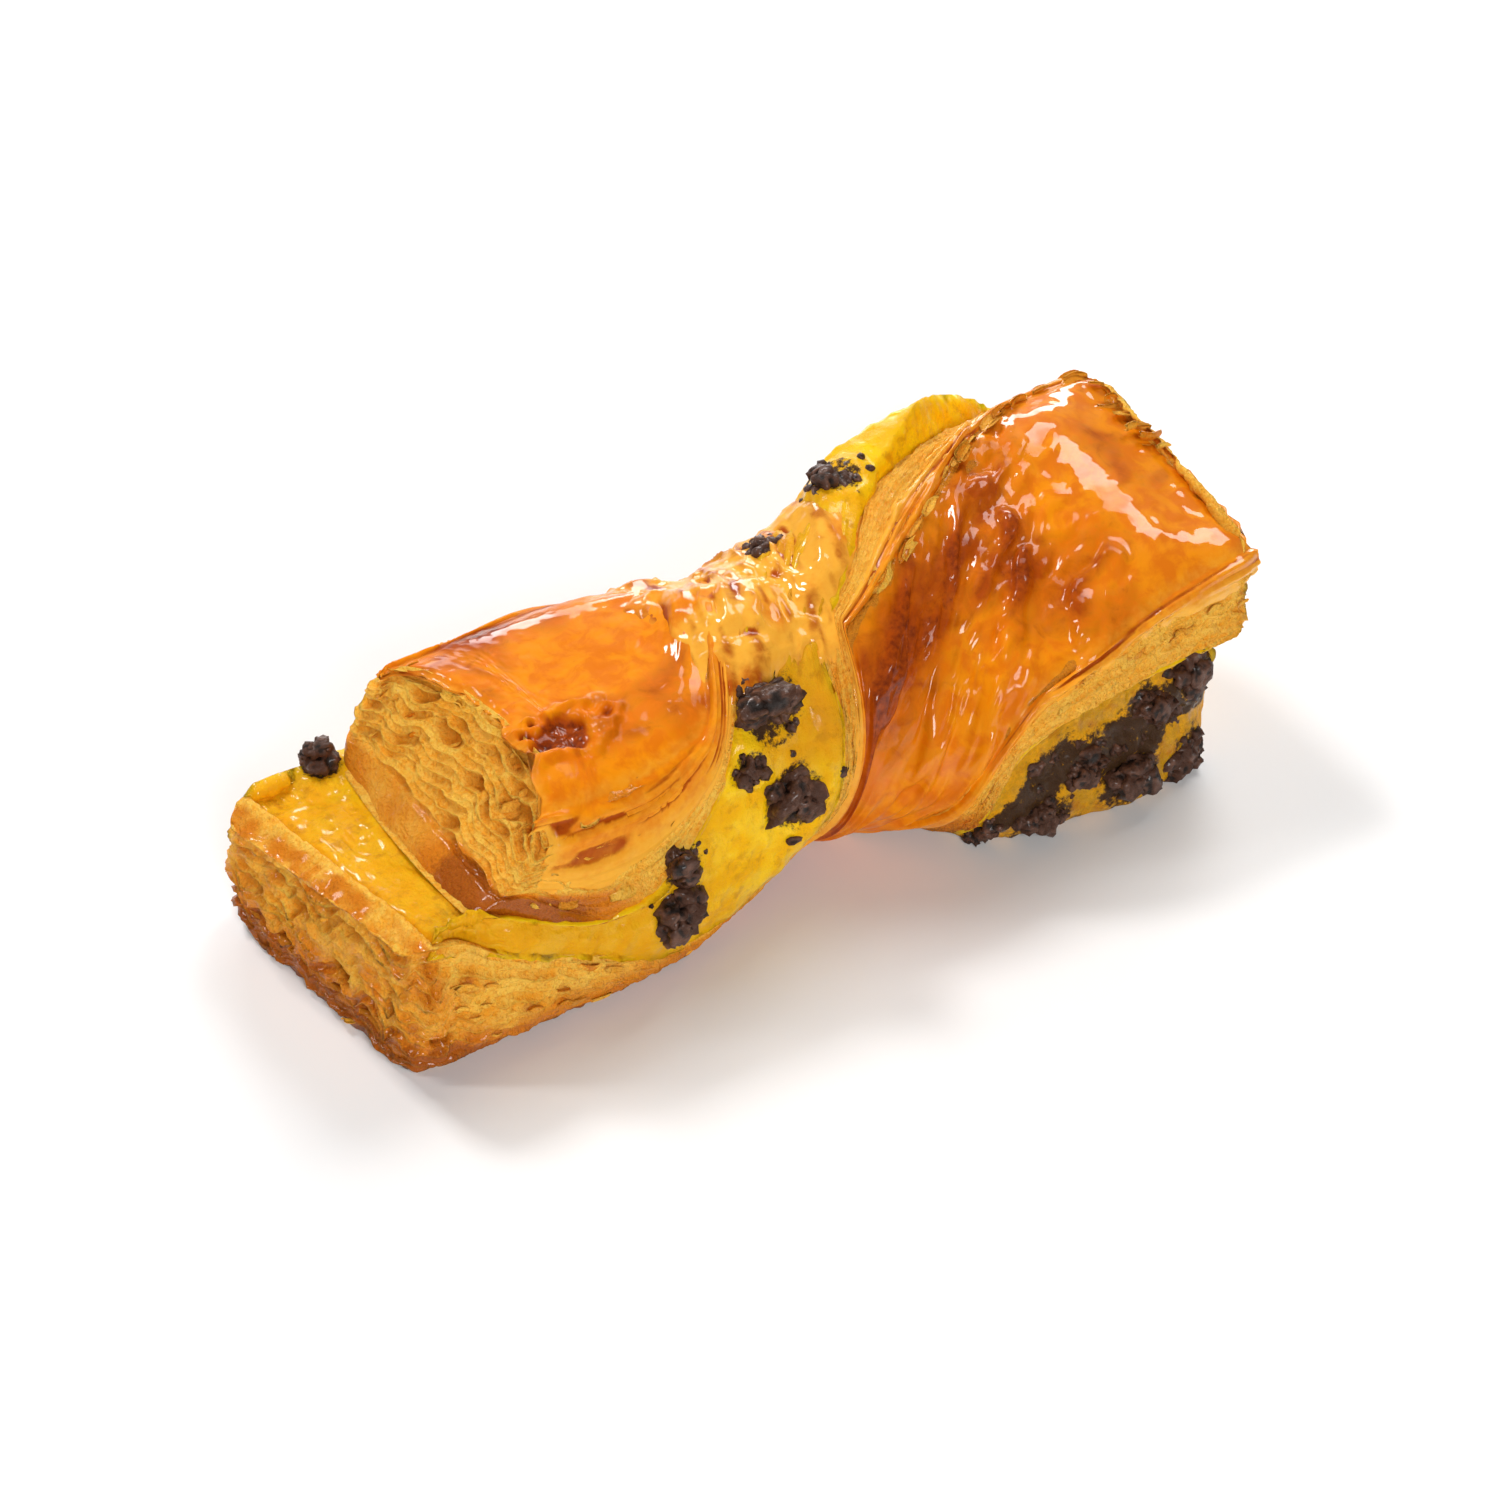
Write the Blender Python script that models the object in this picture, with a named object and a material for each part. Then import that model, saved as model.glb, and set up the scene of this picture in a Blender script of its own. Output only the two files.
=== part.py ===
"""A custard and chocolate danish twist: a strip of laminated dough folded over a custard filling and turned half
round its long axis. Millimetres in the functions, metres in the meshes; +X runs along the twist to its far end,
-Y is the front, +Z is up."""
import math

import bmesh
import bpy
import numpy as np

MM = 0.001
GAP = 0.3                       # between pieces that touch
MIDDLE = (-0.8, -2.3)           # x, y of the middle of the whole outline, moved to the origin at the end

# Edges round the axis, in degrees (0 front, 90 top, 180 back): the angle at the left end, then (turn, from x, to x).
# A lip is the edge of a cut side next to the custard, a rim is its edge next to the browned skin.
EDGES = {
    "lower_front_rim": (-42, (91, 2.8, 8.2), (80, -6.7, 60.3)),
    "lower_front_lip": (10.5, (-48.5, -70, -8), (100, -0.8, 5), (38, 1, 26), (55, 5, 75)),
    "upper_front_lip": (16.6, (-22.8, -55.8, -33.4), (102.3, -31.3, 12.5), (75.6, -25.7, 55.1)),
    "upper_front_rim": (41, (75.2, -17.7, 3.7), (98.2, -28, 54)),
    "upper_back_rim": (138, (34.4, -13.5, 29.7), (97.6, -27.2, 60.4)),
    "upper_back_lip": (176, (51, -24.6, 32.2), (73, -18.7, 61.5)),
    "lower_back_lip": (184.3, (123.7, -20.8, 35.8), (54.7, 12.5, 26.3)),
    "lower_back_rim": (221.1, (141.1, -15.8, 31.0), (31.5, -1.5, 64.9)),
}
# Half width, half height, squareness and centre of the outline at the left, in the neck and at the right.
HALF_WIDTH = (21.6, 18.5, 22.0)
HALF_HEIGHT = (18.3, 18.2, 19.2)
SQUARENESS = (5.0, 2.5, 5.0)
TAPER = (0.12, 0.02, -0.02)     # how much narrower the upper side is
CENTRE_Y = (-0.2, -0.9, -1.6)
CENTRE_Z = (16.6, 18.6, 18.2)
NECK_X, NECK_REACH = 3.0, 34.0
TWIST, TWIST_X, TWIST_LENGTH = 176.0, -6.0, 19.0

CUSTARD_MIDDLE = 2.4            # thickness of the custard on the axis
LOWER_ENDS, UPPER_ENDS, CUSTARD_ENDS = (-67.0, 64.5), (-50.0, 61.5), (-60.5, 60.0)
END_SKEW = 0.10                 # the lower layer's left end leans back by this much for each mm towards the front
ROUNDING = {"lower": 1.8, "upper": 0.7}     # of each left end's corners
# The upper layer's left end slopes: how far its foot reaches out at the front, then how far its top edge stands
# back at the back, more at the front, and more again half-way along.
UPPER_FOOT, UPPER_TOP, UPPER_TOP_FRONT, UPPER_TOP_BELLY = 7.0, 6.8, 7.0, 15.0
FOOT_Z, TOP_Z = 18.0, 36.0
COARSE, FINE = 3.2, 0.9         # distance between cross sections at the ends and in the neck

# Chocolate pieces: x, angle round the axis, sink below the outline, then length, width, height and turn.
CHOCOLATE = [
    (-7.4, 45, 1.2, 9.4, 7.6, 7.2, 20), (-12.2, 27, 1.0, 4.8, 4.2, 4.6, 60), (-5.6, 5, 1.4, 8.4, 9.5, 7.5, 75),
    (-23.4, 4, 0.9, 6.2, 5.6, 6.2, 10), (-24.8, -14, 0.8, 7.8, 7.0, 6.8, 40), (20.0, 113, 1.6, 7.8, 5.4, 5.6, 0),
    (7.4, 112, 1.2, 5.4, 4.6, 4.6, 30), (30.5, -36, 2.2, 7.6, 7.0, 7.0, 0), (36.4, -22, 1.6, 6.0, 4.8, 5.4, 20),
    (43.6, -30, 2.0, 9.4, 7.4, 7.6, 15), (47.6, -12, 1.6, 6.6, 5.4, 6.0, 30), (54.2, -4, 1.8, 5.8, 8.0, 6.2, 10),
    (53.2, -36, 2.0, 7.2, 6.2, 6.4, 25), (-51.8, 173, 1.4, 5.0, 4.6, 4.6, 0),
]


def smooth(start, end, x):
    t = np.clip((x - start) / (end - start), 0, 1)
    return t * t * (3 - 2 * t)


def hump(x, middle, reach):
    return 0.5 + 0.5 * np.cos(np.pi * np.clip(np.abs((x - middle) / reach), 0, 1))


def edge(name, x):
    start, *turns = EDGES[name]
    return start + sum(angle * smooth(first, last, x) for angle, first, last in turns)


def along(values, x):
    """A value that goes from its left to its right amount, and to its neck amount round the neck."""
    left, neck, right = values
    side = smooth(-30, 30, x)
    near = hump(x, NECK_X, NECK_REACH)
    return (1 - near) * (left * (1 - side) + right * side) + near * neck


def twist(x):
    """Half a turn that starts softly at TWIST_X and then eases out."""
    return TWIST * (1 - np.exp(-np.logaddexp(0, 8 * (x - TWIST_X) / TWIST_LENGTH) / 8))


def swelling(angle, x):
    """Custard that stands proud at the back, the raised rims, and what has flowed out at the right front."""
    lip, other = edge("lower_front_lip", x), edge("upper_front_lip", x)
    half = np.maximum(4, (other - lip) / 2)
    back = 4.6 * hump(x, 20, 20) * np.clip(1 - ((angle - (lip + other) / 2) / half / 1.15) ** 2, 0, 1)
    ridge = 5.4 * hump(x, 40, 30) * hump(angle, 124, 28) + 2.2 * hump(x, -6, 9) * hump(angle, 88, 34)
    flowed = 6.5 * smooth(10, 26, x) * (1 - 0.7 * smooth(44, 62, x)) * (hump(angle, 318, 42) + hump(angle, -42, 42))
    return back + ridge + flowed


def outline(angle, x, relief=0.0):
    """Point of the outline, a squared ellipse turned with the twist, at an angle round the axis."""
    turned = np.radians(angle - twist(x))
    half_width = along(HALF_WIDTH, x) * (1 - along(TAPER, x) * np.sin(turned))
    power = along(SQUARENESS, x)
    flat = np.abs(np.cos(turned) / half_width) ** power
    tall = np.abs(np.sin(turned) / along(HALF_HEIGHT, x)) ** power
    radius = (flat + tall) ** (-1 / power) + swelling(angle, x) + relief
    y = along(CENTRE_Y, x) - radius * np.cos(np.radians(angle))
    z = along(CENTRE_Z, x) + radius * np.sin(np.radians(angle))
    return np.stack([x, y, np.maximum(z, 0)], -1)


def clearance(name, x):
    """Degrees that keep GAP to the next piece, more where the edge winds round quickly."""
    winding = np.radians(edge(name, x + 0.25) - edge(name, x - 0.25)) / 0.5 * 18
    return np.degrees(1.45 * GAP * np.sqrt(1 + winding ** 2) / 18)


def seam(x, share, layer, half, front, back):
    """Curve across the inside from the front to the back lip of one side of the custard. It leaves its lips for the
    straight line between the middles of the two openings, and keeps half a thickness off that line."""
    openings = [(outline(edge(f"lower_{place}_lip", x), x) + outline(edge(f"upper_{place}_lip", x), x)) / 2
                for place in ("front", "back")]
    across = openings[1] - openings[0]
    across = across / np.linalg.norm(across[..., 1:], axis=-1, keepdims=True)
    away = np.stack([0 * x, -across[..., 2], across[..., 1]], -1)
    share = share[..., None]
    near_front, near_back = (1 - share) ** 3, share ** 3
    line = (1 - share) * openings[0] + share * openings[1]
    pull = near_front * (front - openings[0]) + near_back * (back - openings[1])
    side = 1 if layer == "upper" else -1
    curve = line + pull + (1 - near_front - near_back) * side * half * away
    curve[..., 2] = np.maximum(curve[..., 2], 0)
    return curve


def stations(start, end):
    """Places of the cross sections, close together in the neck."""
    places = [start]
    while places[-1] < end:
        near = hump(np.array(places[-1]), 4, 22) ** 0.5
        places.append(places[-1] + COARSE + (FINE - COARSE) * float(near))
    places = np.array(places)
    return start + (places - start) * (end - start) / (places[-1] - start)


def layers(share, count, x, seed):
    """Torn leaves of a cut side: every second line stands out, by an amount that changes along the twist."""
    step = np.round(share * count)
    wave = 0.55 + 0.35 * np.sin(0.31 * x + 2.1 * step + seed)
    relief = -0.7 + wave * np.where(step % 2 == 1, 1, -0.4)
    return relief * (step > 0) * (step < count) * (1 - 0.8 * hump(x, 3, 9))


def blisters(angle, x, seed):
    """Low blisters and wrinkles of the browned skin."""
    return 0.35 * np.sin(0.42 * x + 0.09 * angle + seed) * np.sin(0.11 * angle - 0.23 * x + 2 * seed)


def arc(x, names, counts, seed):
    """Angles and relief of the points round a layer's outside: cut side, skin, cut side. x has one column, or one
    for each point."""
    angles, relief, column = [], [], 0
    for stretch, count in enumerate(counts):
        share = np.linspace(0, 1, count + 1)
        if stretch < 2:
            share = share[:-1]
        here = x if x.shape[1] == 1 else x[:, column:column + len(share)]
        column += len(share)
        (first, first_turn), (last, last_turn) = names[stretch], names[stretch + 1]
        start, finish = edge(first, here) + first_turn, edge(last, here) + last_turn
        angle = start + (finish - start) * share
        angles.append(angle)
        relief.append(blisters(angle, here, seed) if stretch == 1 else layers(share, count, here, seed))
    return np.concatenate(angles, 1), np.concatenate(relief, 1)


def shear(points, x, end, sloped=False):
    """Moves the first sections so that the end face runs askew or slopes, fading over 22 mm."""
    fade = 1 - smooth(end, end + 22, x)[:, None]
    if not sloped:
        return x[:, None] + fade * END_SKEW * (20 - points[..., 1])
    front = np.clip((20 - points[..., 1]) / 40, 0, 1)
    height = np.clip((points[..., 2] - FOOT_Z) / (TOP_Z - FOOT_Z), 0, 1.1)
    top = UPPER_TOP + UPPER_TOP_FRONT * front + UPPER_TOP_BELLY * front * (1 - front)
    return x[:, None] + fade * (height * top - (1 - height) * UPPER_FOOT * front)


def layer_sections(layer, ends, counts, seed):
    """Cross sections of one dough layer: cut side, skin, cut side, and the curve that faces the custard."""
    x = stations(*ends)
    if layer == "lower":
        names = [("lower_back_lip", 0), ("lower_back_rim", 0), ("lower_front_rim", 360), ("lower_front_lip", 360)]
    else:
        names = [("upper_front_lip", 0), ("upper_front_rim", 0), ("upper_back_rim", 0), ("upper_back_lip", 0)]
    angles, relief = arc(x[:, None], names, counts, seed)
    straight = outline(angles, x[:, None] + 0 * angles)
    wide = shear(straight, x, ends[0], sloped=layer == "upper")
    angles, relief = arc(wide, names, counts, seed)
    rounding = -ROUNDING[layer] * (1 - smooth(ends[0], ends[0] + 7, x)) - 0.8 * smooth(ends[1] - 3, ends[1], x)
    outside = outline(angles, wide, relief + rounding[:, None])
    share = np.linspace(0, 1, 9)[1:-1]
    inner_x = wide[:, -1:] * (1 - share) + wide[:, :1] * share
    front, back = f"{layer}_front_lip", f"{layer}_back_lip"
    inner_share = 1 - share if layer == "upper" else share
    inside = seam(inner_x, inner_share + 0 * inner_x, layer, CUSTARD_MIDDLE / 2 + GAP,
                  outline(edge(front, inner_x), inner_x), outline(edge(back, inner_x), inner_x))
    return np.concatenate([outside, inside], 1)


def custard_sections():
    """Cross sections of the custard: along the lower layer, up the back opening, back along the upper layer and
    down the front opening."""
    x = stations(*CUSTARD_ENDS)
    wide = x[:, None]
    wide = shear(outline(edge("lower_front_lip", wide), wide), x, CUSTARD_ENDS[0])
    share = np.linspace(0, 1, 9)

    def lip(layer, place, sign):
        name = f"{layer}_{place}_lip"
        return edge(name, wide) + sign * clearance(name, wide)

    low_front, high_front = lip("lower", "front", 1), lip("upper", "front", -1)
    low_back, high_back = lip("lower", "back", -1), lip("upper", "back", 1)
    under = seam(wide + 0 * share, share + 0 * wide, "lower", CUSTARD_MIDDLE / 2,
                 outline(low_front, wide), outline(low_back, wide))
    over = seam(wide + 0 * share, 1 - share + 0 * wide, "upper", CUSTARD_MIDDLE / 2,
                outline(high_front, wide), outline(high_back, wide))
    inside = np.linspace(0, 1, 6)[1:-1]
    back = low_back + (high_back - low_back) * inside
    front = high_front + (low_front - high_front) * inside
    lumps = 0.3 + 0.5 * np.sin(0.5 * x[:, None] + 5 * inside) - 3 * smooth(52, CUSTARD_ENDS[1], x)[:, None] ** 2
    back_arc = outline(back, wide + 0 * back, lumps)
    front_arc = outline(front, wide + 0 * front, lumps)
    return np.concatenate([under, back_arc, over, front_arc], 1)


def end_rings(ring, outward, seed, bulge, rough):
    """Rings that shrink from an end section to a point, with the hollows and leaves of a torn end."""
    rng = np.random.default_rng(seed)
    centre = ring.mean(0)
    rings = []
    for scale, depth in ((0.86, 0.45), (0.58, 0.9), (0.28, 1.0)):
        inner = centre + (ring - centre) * scale
        inner[:, 0] += outward * (bulge * depth + rough * rng.uniform(-1, 1, len(ring)))
        inner[:, 2] = np.maximum(inner[:, 2], 0)
        rings.append(inner)
    tip = centre.copy()
    tip[0] += outward * bulge
    return rings, tip


def solid(name, sections, capped, colour, roughness):
    """Closed mesh over cross sections of one point count; capped gives (seed, bulge, rough) for round ends."""
    mesh = bmesh.new()
    rows = [list(section) for section in sections]
    tips = None
    if capped:
        first, first_tip = end_rings(sections[0], -1, *capped[0])
        last, last_tip = end_rings(sections[-1], 1, *capped[1])
        rows = [list(ring) for ring in first[::-1]] + rows + [list(ring) for ring in last]
        tips = first_tip, last_tip
    grid = [[mesh.verts.new(MM * (point - np.array([*MIDDLE, 0]))) for point in row] for row in rows]
    count = len(grid[0])
    for row, following in zip(grid, grid[1:]):
        for k in range(count):
            n = (k + 1) % count
            mesh.faces.new((row[k], following[k], following[n]))
            mesh.faces.new((row[k], following[n], row[n]))
    if tips:
        for ring, tip in ((grid[0], tips[0]), (grid[-1][::-1], tips[1])):
            point = mesh.verts.new(MM * (tip - np.array([*MIDDLE, 0])))
            for k in range(count):
                mesh.faces.new((ring[k], ring[(k + 1) % count], point))
    else:
        mesh.faces.new(grid[0])
        mesh.faces.new(grid[-1][::-1])
    return finished(name, mesh, colour, roughness)


def finished(name, mesh, colour, roughness):
    """The object of a closed mesh, its faces turned to point out."""
    if mesh.calc_volume(signed=True) < 0:
        bmesh.ops.reverse_faces(mesh, faces=mesh.faces)
    data = bpy.data.meshes.new(name)
    mesh.to_mesh(data)
    mesh.free()
    thing = bpy.data.objects.new(name, data)
    bpy.context.scene.collection.objects.link(thing)
    material = bpy.data.materials.new(name)
    material.use_nodes = True
    shader = next(node for node in material.node_tree.nodes if node.type == "BSDF_PRINCIPLED")
    shader.inputs["Base Color"].default_value = (*colour, 1)
    shader.inputs["Roughness"].default_value = roughness
    data.materials.append(material)
    return thing


def chocolate_piece(name, number, grow=0.0):
    """A lumpy baked drop: a ball pressed to the surface, with a few soft dents; grown, it cuts its own pocket."""
    x, angle, sink, length, width, height, turn = CHOCOLATE[number]
    base = outline(np.array(float(angle)), np.array(float(x)), -sink)
    radial = math.radians(angle)
    up = np.array([0, -math.cos(radial), math.sin(radial)])
    side = np.array([0, math.sin(radial), math.cos(radial)])
    spin = math.radians(turn)
    forward = np.array([math.cos(spin), 0, 0]) + math.sin(spin) * side
    across = -math.sin(spin) * np.array([1, 0, 0]) + math.cos(spin) * side
    mesh = bmesh.new()
    bmesh.ops.create_icosphere(mesh, subdivisions=2, radius=1)
    floor = -9.0 if grow else 0.35
    for vert in mesh.verts:
        p = np.array(vert.co)
        dent = 1 + 0.09 * math.sin(5 * p[0] + number) * math.sin(4 * p[1] + 2 * number) + 0.05 * math.sin(7 * p[2] + number)
        size = np.array([length, width, height]) / 2 * dent + grow
        place = base + forward * p[0] * size[0] + across * p[1] * size[1] + up * p[2] * size[2]
        place[2] = max(place[2], floor)
        vert.co = MM * (place - np.array([*MIDDLE, 0]))
    return finished(name, mesh, (0.05, 0.025, 0.015), 0.45)


def largest_body(mesh):
    """Drops the scraps that pockets close together have cut loose."""
    left, bodies = set(mesh.verts), []
    while left:
        body, edge_of_body = set(), [next(iter(left))]
        while edge_of_body:
            vert = edge_of_body.pop()
            if vert in left:
                left.remove(vert)
                body.add(vert)
                edge_of_body += [link.other_vert(vert) for link in vert.link_edges]
        bodies.append(body)
    bodies.sort(key=len)
    scraps = [vert for body in bodies[:-1] for vert in body]
    bmesh.ops.delete(mesh, geom=scraps, context="VERTS")


def carve(thing, pockets):
    """Cuts the pockets from a thing for good and keeps its largest body."""
    for pocket in pockets:
        cut = thing.modifiers.new(pocket.name, "BOOLEAN")
        cut.operation = "DIFFERENCE"
        cut.object = pocket
    carved = bpy.data.meshes.new_from_object(thing.evaluated_get(bpy.context.evaluated_depsgraph_get()))
    thing.modifiers.clear()
    mesh = bmesh.new()
    mesh.from_mesh(carved)
    largest_body(mesh)
    mesh.to_mesh(carved)
    mesh.free()
    thing.data = carved
    carved.name = thing.name


def main():
    for thing in list(bpy.data.objects):
        bpy.data.objects.remove(thing, do_unlink=True)
    lower = solid("dough_lower", layer_sections("lower", LOWER_ENDS, (5, 12, 5), 0.4),
                  [(3, 1.2, 0.5), (5, 1.2, 0.5)], (0.72, 0.30, 0.06), 0.4)
    upper = solid("dough_upper", layer_sections("upper", UPPER_ENDS, (4, 11, 4), 1.7),
                  [(7, 1.0, 0.5), (9, 1.0, 0.5)], (0.85, 0.38, 0.07), 0.35)
    custard = solid("custard", custard_sections(), None, (0.85, 0.62, 0.04), 0.3)
    pockets = []
    for number in range(len(CHOCOLATE)):
        chocolate_piece(f"chocolate_{number + 1:02d}", number)
        pockets.append(chocolate_piece(f"pocket_{number + 1:02d}", number, GAP))
    for thing in (lower, upper, custard):
        carve(thing, pockets)
    for pocket in pockets:
        bpy.data.objects.remove(pocket, do_unlink=True)


main()
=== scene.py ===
import bmesh
import bpy
import numpy as np
from mathutils import Matrix, Vector


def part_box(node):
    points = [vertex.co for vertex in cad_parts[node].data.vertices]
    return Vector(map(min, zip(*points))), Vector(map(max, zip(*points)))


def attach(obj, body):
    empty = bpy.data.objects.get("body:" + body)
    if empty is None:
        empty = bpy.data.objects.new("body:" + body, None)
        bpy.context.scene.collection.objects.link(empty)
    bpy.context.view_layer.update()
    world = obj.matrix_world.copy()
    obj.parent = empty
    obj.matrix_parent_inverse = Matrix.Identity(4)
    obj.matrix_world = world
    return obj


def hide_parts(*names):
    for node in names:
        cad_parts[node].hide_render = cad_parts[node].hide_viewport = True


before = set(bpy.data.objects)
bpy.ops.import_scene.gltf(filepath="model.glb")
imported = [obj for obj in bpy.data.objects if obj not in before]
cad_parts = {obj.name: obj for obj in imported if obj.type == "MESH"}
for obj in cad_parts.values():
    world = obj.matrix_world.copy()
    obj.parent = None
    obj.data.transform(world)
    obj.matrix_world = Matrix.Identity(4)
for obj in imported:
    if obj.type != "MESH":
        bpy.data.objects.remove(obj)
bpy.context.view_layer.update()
print("frame loaded")

# Shapes are worked out in millimetres and put into the meshes in metres. x runs along the twist, y to the
# back, z up. An angle goes round the axis in degrees: 0 front, 90 top, 180 back, 270 underside.
mm = 0.001
middle = np.array([-0.8, -2.3, 0.0])  # the construction's middle, which is the frame's origin

# The twist: eight edges run along it, each with its angle at the left end and turns (degrees, from x, to x).
twistShape = {
    "lowerFrontRim": (-42, (91, 2.8, 8.2), (80, -6.7, 60.3)),
    "lowerFrontLip": (10.5, (-48.5, -70, -8), (100, -0.8, 5), (38, 1, 26), (55, 5, 75)),
    "upperFrontLip": (16.6, (-22.8, -55.8, -33.4), (102.3, -31.3, 12.5), (75.6, -25.7, 55.1)),
    "upperFrontRim": (41, (75.2, -17.7, 3.7), (98.2, -28, 54)),
    "upperBackRim": (138, (34.4, -13.5, 29.7), (97.6, -27.2, 60.4)),
    "upperBackLip": (176, (51, -24.6, 32.2), (73, -18.7, 61.5)),
    "lowerBackLip": (184.3, (123.7, -20.8, 35.8), (54.7, 12.5, 26.3)),
    "lowerBackRim": (221.1, (141.1, -15.8, 31.0), (31.5, -1.5, 64.9)),
    # left, neck and right values of the outline
    "halfWidth": (21.6, 18.5, 22.0),
    "halfHeight": (18.3, 18.2, 19.2),
    "squareness": (5.0, 2.5, 5.0),
    "taper": (0.12, 0.02, -0.02),
    "centreY": (-0.2, -0.9, -1.6),
    "centreZ": (16.6, 18.6, 18.2),
    "neckX": 3.0, "neckReach": 34.0,
    "turn": 176.0, "turnX": -6.0, "turnLength": 19.0,
    "custardMiddle": 2.4,
    "endSkew": 0.10, "endFade": 22.0,
}
layers = {
    "lower": {"ends": (-67.0, 64.5), "rounding": 1.8, "wrap": 360, "seed": 11},
    "upper": {"ends": (-50.0, 61.5), "rounding": 0.7, "wrap": 0, "seed": 47},
}
# The upper layer's left end slopes: its foot reaches out at the front, its top edge stands back.
slope = {"foot": 7.0, "top": 6.8, "topFront": 7.0, "topBelly": 15.0, "footZ": 18.0, "topZ": 36.0}


def smooth(start, end, x):  # 0 before start, 1 after end, an S between
    t = np.clip((x - start) / (end - start), 0, 1)
    return t * t * (3 - 2 * t)


def hump(x, centre, reach):  # 1 at the centre, 0 past reach, a cosine between
    return 0.5 + 0.5 * np.cos(np.pi * np.clip(np.abs((x - centre) / reach), 0, 1))


def edge(name, x):
    start, *turns = twistShape[name]
    return start + sum(angle * smooth(first, last, x) for angle, first, last in turns)


def along(name, x):  # left to right value, and the neck's value round the neck
    left, neck, right = twistShape[name]
    side = smooth(-30, 30, x)
    near = hump(x, twistShape["neckX"], twistShape["neckReach"])
    return (1 - near) * (left * (1 - side) + right * side) + near * neck


def twist(x):  # half a turn that starts softly and eases out
    run = (x - twistShape["turnX"]) / twistShape["turnLength"]
    return twistShape["turn"] * (1 - np.exp(-np.logaddexp(0, 8 * run) / 8))


def axisAt(x):  # the point of the twist's axis at x
    return np.stack([x, along("centreY", x), along("centreZ", x)], -1)


def swelling(angle, x):  # custard proud at the back, raised rims, and what has flowed out at the right front
    lip, other = edge("lowerFrontLip", x), edge("upperFrontLip", x)
    half = np.maximum(4, (other - lip) / 2)
    back = 4.6 * hump(x, 20, 20) * np.clip(1 - ((angle - (lip + other) / 2) / half / 1.15) ** 2, 0, 1)
    ridge = 5.4 * hump(x, 40, 30) * hump(angle, 124, 28) + 2.2 * hump(x, -6, 9) * hump(angle, 88, 34)
    flowed = 6.5 * smooth(10, 26, x) * (1 - 0.7 * smooth(44, 62, x))
    return back + ridge + flowed * (hump(angle, 318, 42) + hump(angle, -42, 42))


# Outline: radius = (|cos a / half width| ^ n + |sin a / half height| ^ n) ^ (-1 / n) + swelling, with the
# angle a counted from the twist, so that the squared ellipse turns with it.
def outline(angle, x, relief=0.0):
    turned = np.radians(angle - twist(x))
    halfWidth = along("halfWidth", x) * (1 - along("taper", x) * np.sin(turned))
    power = along("squareness", x)
    flat = np.abs(np.cos(turned) / halfWidth) ** power
    tall = np.abs(np.sin(turned) / along("halfHeight", x)) ** power
    radius = (flat + tall) ** (-1 / power) + swelling(angle, x) + relief
    y = along("centreY", x) - radius * np.cos(np.radians(angle))
    z = along("centreZ", x) + radius * np.sin(np.radians(angle))
    return np.stack([x + 0 * y, y, np.maximum(z, 0)], -1)


# Seam between dough and custard: a straight line between the middles of the two openings, pulled to the
# lips by the cube of the distance from the far one, and half the custard's thickness off that line in
# between.
def seam(x, share, side, half, frontLip, backLip):
    openings = [(outline(edge(f"lower{place}Lip", x), x) + outline(edge(f"upper{place}Lip", x), x)) / 2
                for place in ("Front", "Back")]
    across = openings[1] - openings[0]
    across = across / np.linalg.norm(across[..., 1:], axis=-1, keepdims=True)
    away = np.stack([0 * x, -across[..., 2], across[..., 1]], -1)
    share = share[..., None]
    nearFront, nearBack = (1 - share) ** 3, share ** 3
    line = (1 - share) * openings[0] + share * openings[1]
    pull = nearFront * (frontLip - openings[0]) + nearBack * (backLip - openings[1])
    curve = line + pull + (1 - nearFront - nearBack) * side * half * away
    curve[..., 2] = np.maximum(curve[..., 2], 0)
    return curve


# A point of a dough layer's cross section, by w from its front to its back edge and v from its skin to its
# seam: the four edges of the section blended (a Coons patch).
def section(layer, x, w, v):
    rules = layers[layer]
    wrap = rules["wrap"]
    start, end = rules["ends"]
    relief = -rules["rounding"] * (1 - smooth(start, start + 7, x)) - 0.8 * smooth(end - 3, end, x)
    front, back = edge(layer + "FrontRim", x) + wrap, edge(layer + "BackRim", x)
    frontLip, backLip = edge(layer + "FrontLip", x) + wrap, edge(layer + "BackLip", x)
    side = 1 if layer == "upper" else -1
    half = twistShape["custardMiddle"] / 2 + 0.1
    skin = outline(front + (back - front) * w, x, relief)
    ends = outline(frontLip, x, relief), outline(backLip, x, relief)
    inner = seam(x, w, side, half, *ends)
    frontCut = outline(front + (frontLip - front) * v, x, relief)
    backCut = outline(back + (backLip - back) * v, x, relief)
    corners = outline(front, x, relief), outline(back, x, relief)
    w, v = w[..., None], v[..., None]
    blend = (1 - v) * skin + v * inner + (1 - w) * frontCut + w * backCut
    blend -= (1 - v) * ((1 - w) * corners[0] + w * corners[1]) + v * ((1 - w) * ends[0] + w * ends[1])
    blend[..., 2] = np.maximum(blend[..., 2], 0)
    return blend


def shear(layer, x, point):  # x of a point once its left end runs askew or slopes
    start = layers[layer]["ends"][0]
    fade = 1 - smooth(start, start + twistShape["endFade"], x)
    if layer == "lower":
        return x + fade * twistShape["endSkew"] * (20 - point[..., 1])
    front = np.clip((20 - point[..., 1]) / 40, 0, 1)
    height = np.clip((point[..., 2] - slope["footZ"]) / (slope["topZ"] - slope["footZ"]), 0, 1.1)
    top = slope["top"] + slope["topFront"] * front + slope["topBelly"] * front * (1 - front)
    return x + fade * (height * top - (1 - height) * slope["foot"] * front)


def layerPoint(layer, x, w, v):  # the section, with its left end as in the frame
    x, w, v = np.broadcast_arrays(x, w, v)
    return section(layer, shear(layer, x, section(layer, x, w, v)), w, v)


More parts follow.
